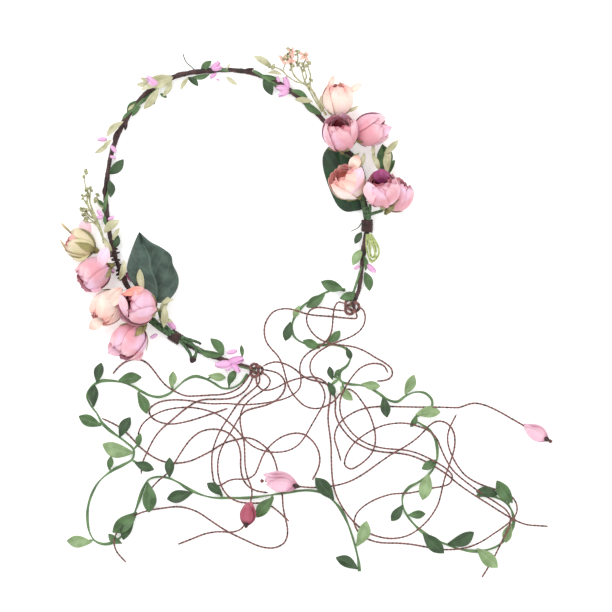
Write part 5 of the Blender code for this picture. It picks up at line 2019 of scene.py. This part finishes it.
            petal = Petal(turn=index * 2.1, half_width=1.25, end=2.9, point=0.1, seed=index)
            seed_head.add(petal.surface(ball))
        pattern = seed_head.build()
        turns = random.uniform(-1, 1, (len(heads), 3))
        sizes = random.uniform(0.0016, 0.0026, len(heads))
        made = self.scatter.scatter("sprig_seed_heads", pattern, heads, turns, sizes, fin.sprig, seed=22)
        declared(made, "sprig")
        discard(pattern)
        petal = leaf_piece("pattern_floret", fin.peach, 0.42, 0.6, 0.35)
        starts = [spot for spot in florets for _ in range(5)]
        turns = [
            (0, random.uniform(-0.7, -0.1), k * 1.257 + random.uniform(-0.3, 0.3))
            for _ in florets
            for k in range(5)
        ]
        sizes = random.uniform(0.0028, 0.0058, len(starts))
        made = self.scatter.scatter("sprig_florets", petal, starts, turns, sizes, fin.peach, seed=23)
        declared(made, "petal_cream")
        discard(petal)

    def make(self) -> None:
        """Makes all of it."""
        LEAF_LEFT.make(self.finishes.leaf_left)
        LEAF_RIGHT.make(self.finishes.leaf_right)
        LEAF_SIDE.make(self.finishes.leaf)
        self.make_leaves()
        self.make_pips()
        self.make_coil()
        self.make_bundles()
        self.make_stems()
        self.make_sprigs()


def paint(node: str, finish: bpy.types.Material) -> None:
    """Gives a node of the frame that stays in view its finish."""
    materials = bpy.data.objects[node].data.materials
    materials.clear()
    materials.append(finish)


@dataclass(frozen=True)
class Charm:
    """A folded petal that hangs on a cord: its node, length, width, heading and finish."""

    node: str
    length: float
    width: float
    heading: float
    finish: str
    leaves: int

    def make(self, finishes: Finishes) -> bpy.types.Object:
        """Makes the cupped petals, one in another.

        Args:
            finishes: the materials.

        Returns:
            The finished piece.
        """
        finish = getattr(finishes, self.finish)
        sheets = SheetSet(f"{self.node}_petals", finish, wall=0.00025, rows=14, columns=12)
        for index in range(self.leaves):
            sheets.add(self.petal(index))
        return declared(sheets.build(), "petal_pink", self.node)

    def petal(self, index: int) -> Callable[[Points, Points], Points]:
        """One of the cupped petals.

        Args:
            index: how many petals it lies in.

        Returns:
            A function from across and along to places in space.
        """
        centre, back = middle_of(self.node), self.back()
        side = np.array((back[1], -back[0], 0))
        size = 1 - 0.14 * index
        lean = (index - (self.leaves - 1) / 2) * 0.22

        def face(across: Points, along: Points) -> Points:
            """Places in space from the shares across and along the petal."""
            edge = 2 * across - 1
            swell = np.sin(math.pi * np.clip(along, 0.02, 0.99) ** 0.85)
            half = self.width * MM / 2 * size * swell**0.7 * (1 - 0.35 * along**3)
            reach = (along - 0.5) * self.length * MM * size
            sway = lean * self.width * MM * along
            rise = 0.0030 * edge**2 * np.sin(math.pi * along) - 0.0015 + 0.0012 * index
            rise = rise + 0.0005 * np.sin(9 * edge + 3 * along + index) * along
            flat = centre - back * reach[..., None] + side * (edge * half + sway)[..., None]
            return flat + np.array((0, 0, 1)) * rise[..., None]

        return face

    def back(self) -> Points:
        """The direction from the petal's tip to its foot."""
        turn = math.radians(self.heading)
        return np.array((math.cos(turn), math.sin(turn), 0))

    def make_base(self, finishes: Finishes) -> bpy.types.Object:
        """Makes the small calyx at the petal's foot.

        Args:
            finishes: the materials.

        Returns:
            The finished piece.
        """
        run = np.linspace(0.36, 0.58, 8)[:, None] * self.length * MM
        radius = np.array((0.3, 0.8, 1.1, 1.15, 1.0, 0.8, 0.55, 0.3)) * 0.0016
        route = middle_of(self.node) + self.back() * run
        profile = Profile(sides=12, pitch=0.02, lobes=5, depth=0.15)
        base = wound_tube(f"{self.node}_calyx", route, radius, profile, finishes.binding)
        return declared(base, "calyx")


CHARMS = (
    Charm("petal_charm_pink", 24, 13.5, -12, "charm", 3),
    Charm("petal_charm_rose", 17, 11, -97, "charm_rose", 2),
    Charm("petal_charm_end", 19, 11, -30, "charm", 2),
)


# ---------------------------------------------------------------------------------------------
# The stage
# ---------------------------------------------------------------------------------------------


@dataclass
class Stage:
    """A pale floor, soft light and a camera straight above."""

    view_width: float = 0.408
    view_middle: tuple[float, float] = (47.3, -60.7)
    height: float = 2.2
    sensor: float = 0.036
    floor_reach: float = 3.0
    floor_glow: float = 0.34
    room_light: float = 0.78

    def make_camera(self) -> None:
        """Hangs the camera over the middle of the view."""
        data = bpy.data.cameras.new("overhead")
        data.sensor_width = self.sensor * 1000
        data.lens = self.sensor * 1000 * self.height / self.view_width
        data.clip_start, data.clip_end = 0.1, 20
        camera = bpy.data.objects.new("overhead", data)
        camera.location = (*placed(self.view_middle)[0], self.height)
        bpy.context.scene.collection.objects.link(camera)
        bpy.context.scene.camera = camera

    def make_floor(self) -> None:
        """Lays the floor under the crown."""
        mesh = bpy.data.meshes.new("floor")
        reach = self.floor_reach
        corners = [(x * reach, y * reach, FLOOR_Z) for x, y in ((-1, -1), (1, -1), (1, 1), (-1, 1))]
        mesh.from_pydata(corners, [], [(0, 1, 2, 3)])
        kit = NodeKit("floor_white")
        kit.shader.inputs["Specular IOR Level"].default_value = 0.1
        kit.shader.inputs["Emission Color"].default_value = (1, 1, 1, 1)
        kit.shader.inputs["Emission Strength"].default_value = self.floor_glow
        tone = kit.mix(kit.noise(3, 2), (0.93, 0.93, 0.93), (0.95, 0.95, 0.95))
        linked("floor", mesh, kit.finish(tone, 0.9))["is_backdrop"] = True

    def make_light(self) -> None:
        """Hangs one large soft light and a weaker one to the side, and lights the room evenly."""
        for name, place, size, power in (
            ("key_light", (-0.55, 0.65, 1.3), 0.9, 11),
            ("fill_light", (0.9, -0.5, 1.2), 1.4, 7),
        ):
            data = bpy.data.lights.new(name, "AREA")
            data.shape, data.size, data.energy = "DISK", size, power
            light = bpy.data.objects.new(name, data)
            light.location = place
            light.rotation_euler = (-Vector(place)).to_track_quat("-Z", "Y").to_euler()
            bpy.context.scene.collection.objects.link(light)
        world = bpy.data.worlds.new("studio")
        world.use_nodes = True
        world.node_tree.nodes["Background"].inputs["Color"].default_value = (1, 1, 1, 1)
        world.node_tree.nodes["Background"].inputs["Strength"].default_value = self.room_light
        bpy.context.scene.world = world
        bpy.context.scene.view_settings.view_transform = "Standard"


def write_sizes() -> None:
    """Gathers the frame's box and the finished model's box side by side; nothing is written."""
    boxes = {"cad": CAD_BOX, "visual": [list(corner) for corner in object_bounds()]}
    boxes = {name: [[float(value) for value in corner] for corner in box] for name, box in boxes.items()}


def main() -> None:
    """Builds the stage and every part of the crown, in order."""
    logging.basicConfig(level=logging.INFO, format="%(name)s: %(message)s")
    stage = Stage()
    stage.make_camera()
    finishes = Finishes()
    scatter = ScatterTree("copies_on_places")
    Trails(CordBed(), finishes, scatter).make()
    for charm in CHARMS:
        charm.make(finishes)
        charm.make_base(finishes)
    ring = Ring(finishes)
    ring.make()
    make_knots(finishes)
    make_buds(finishes)
    Foliage(ring, finishes, scatter).make()
    stage.make_floor()
    stage.make_light()
    write_sizes()


if __name__ == "__main__":
    main()
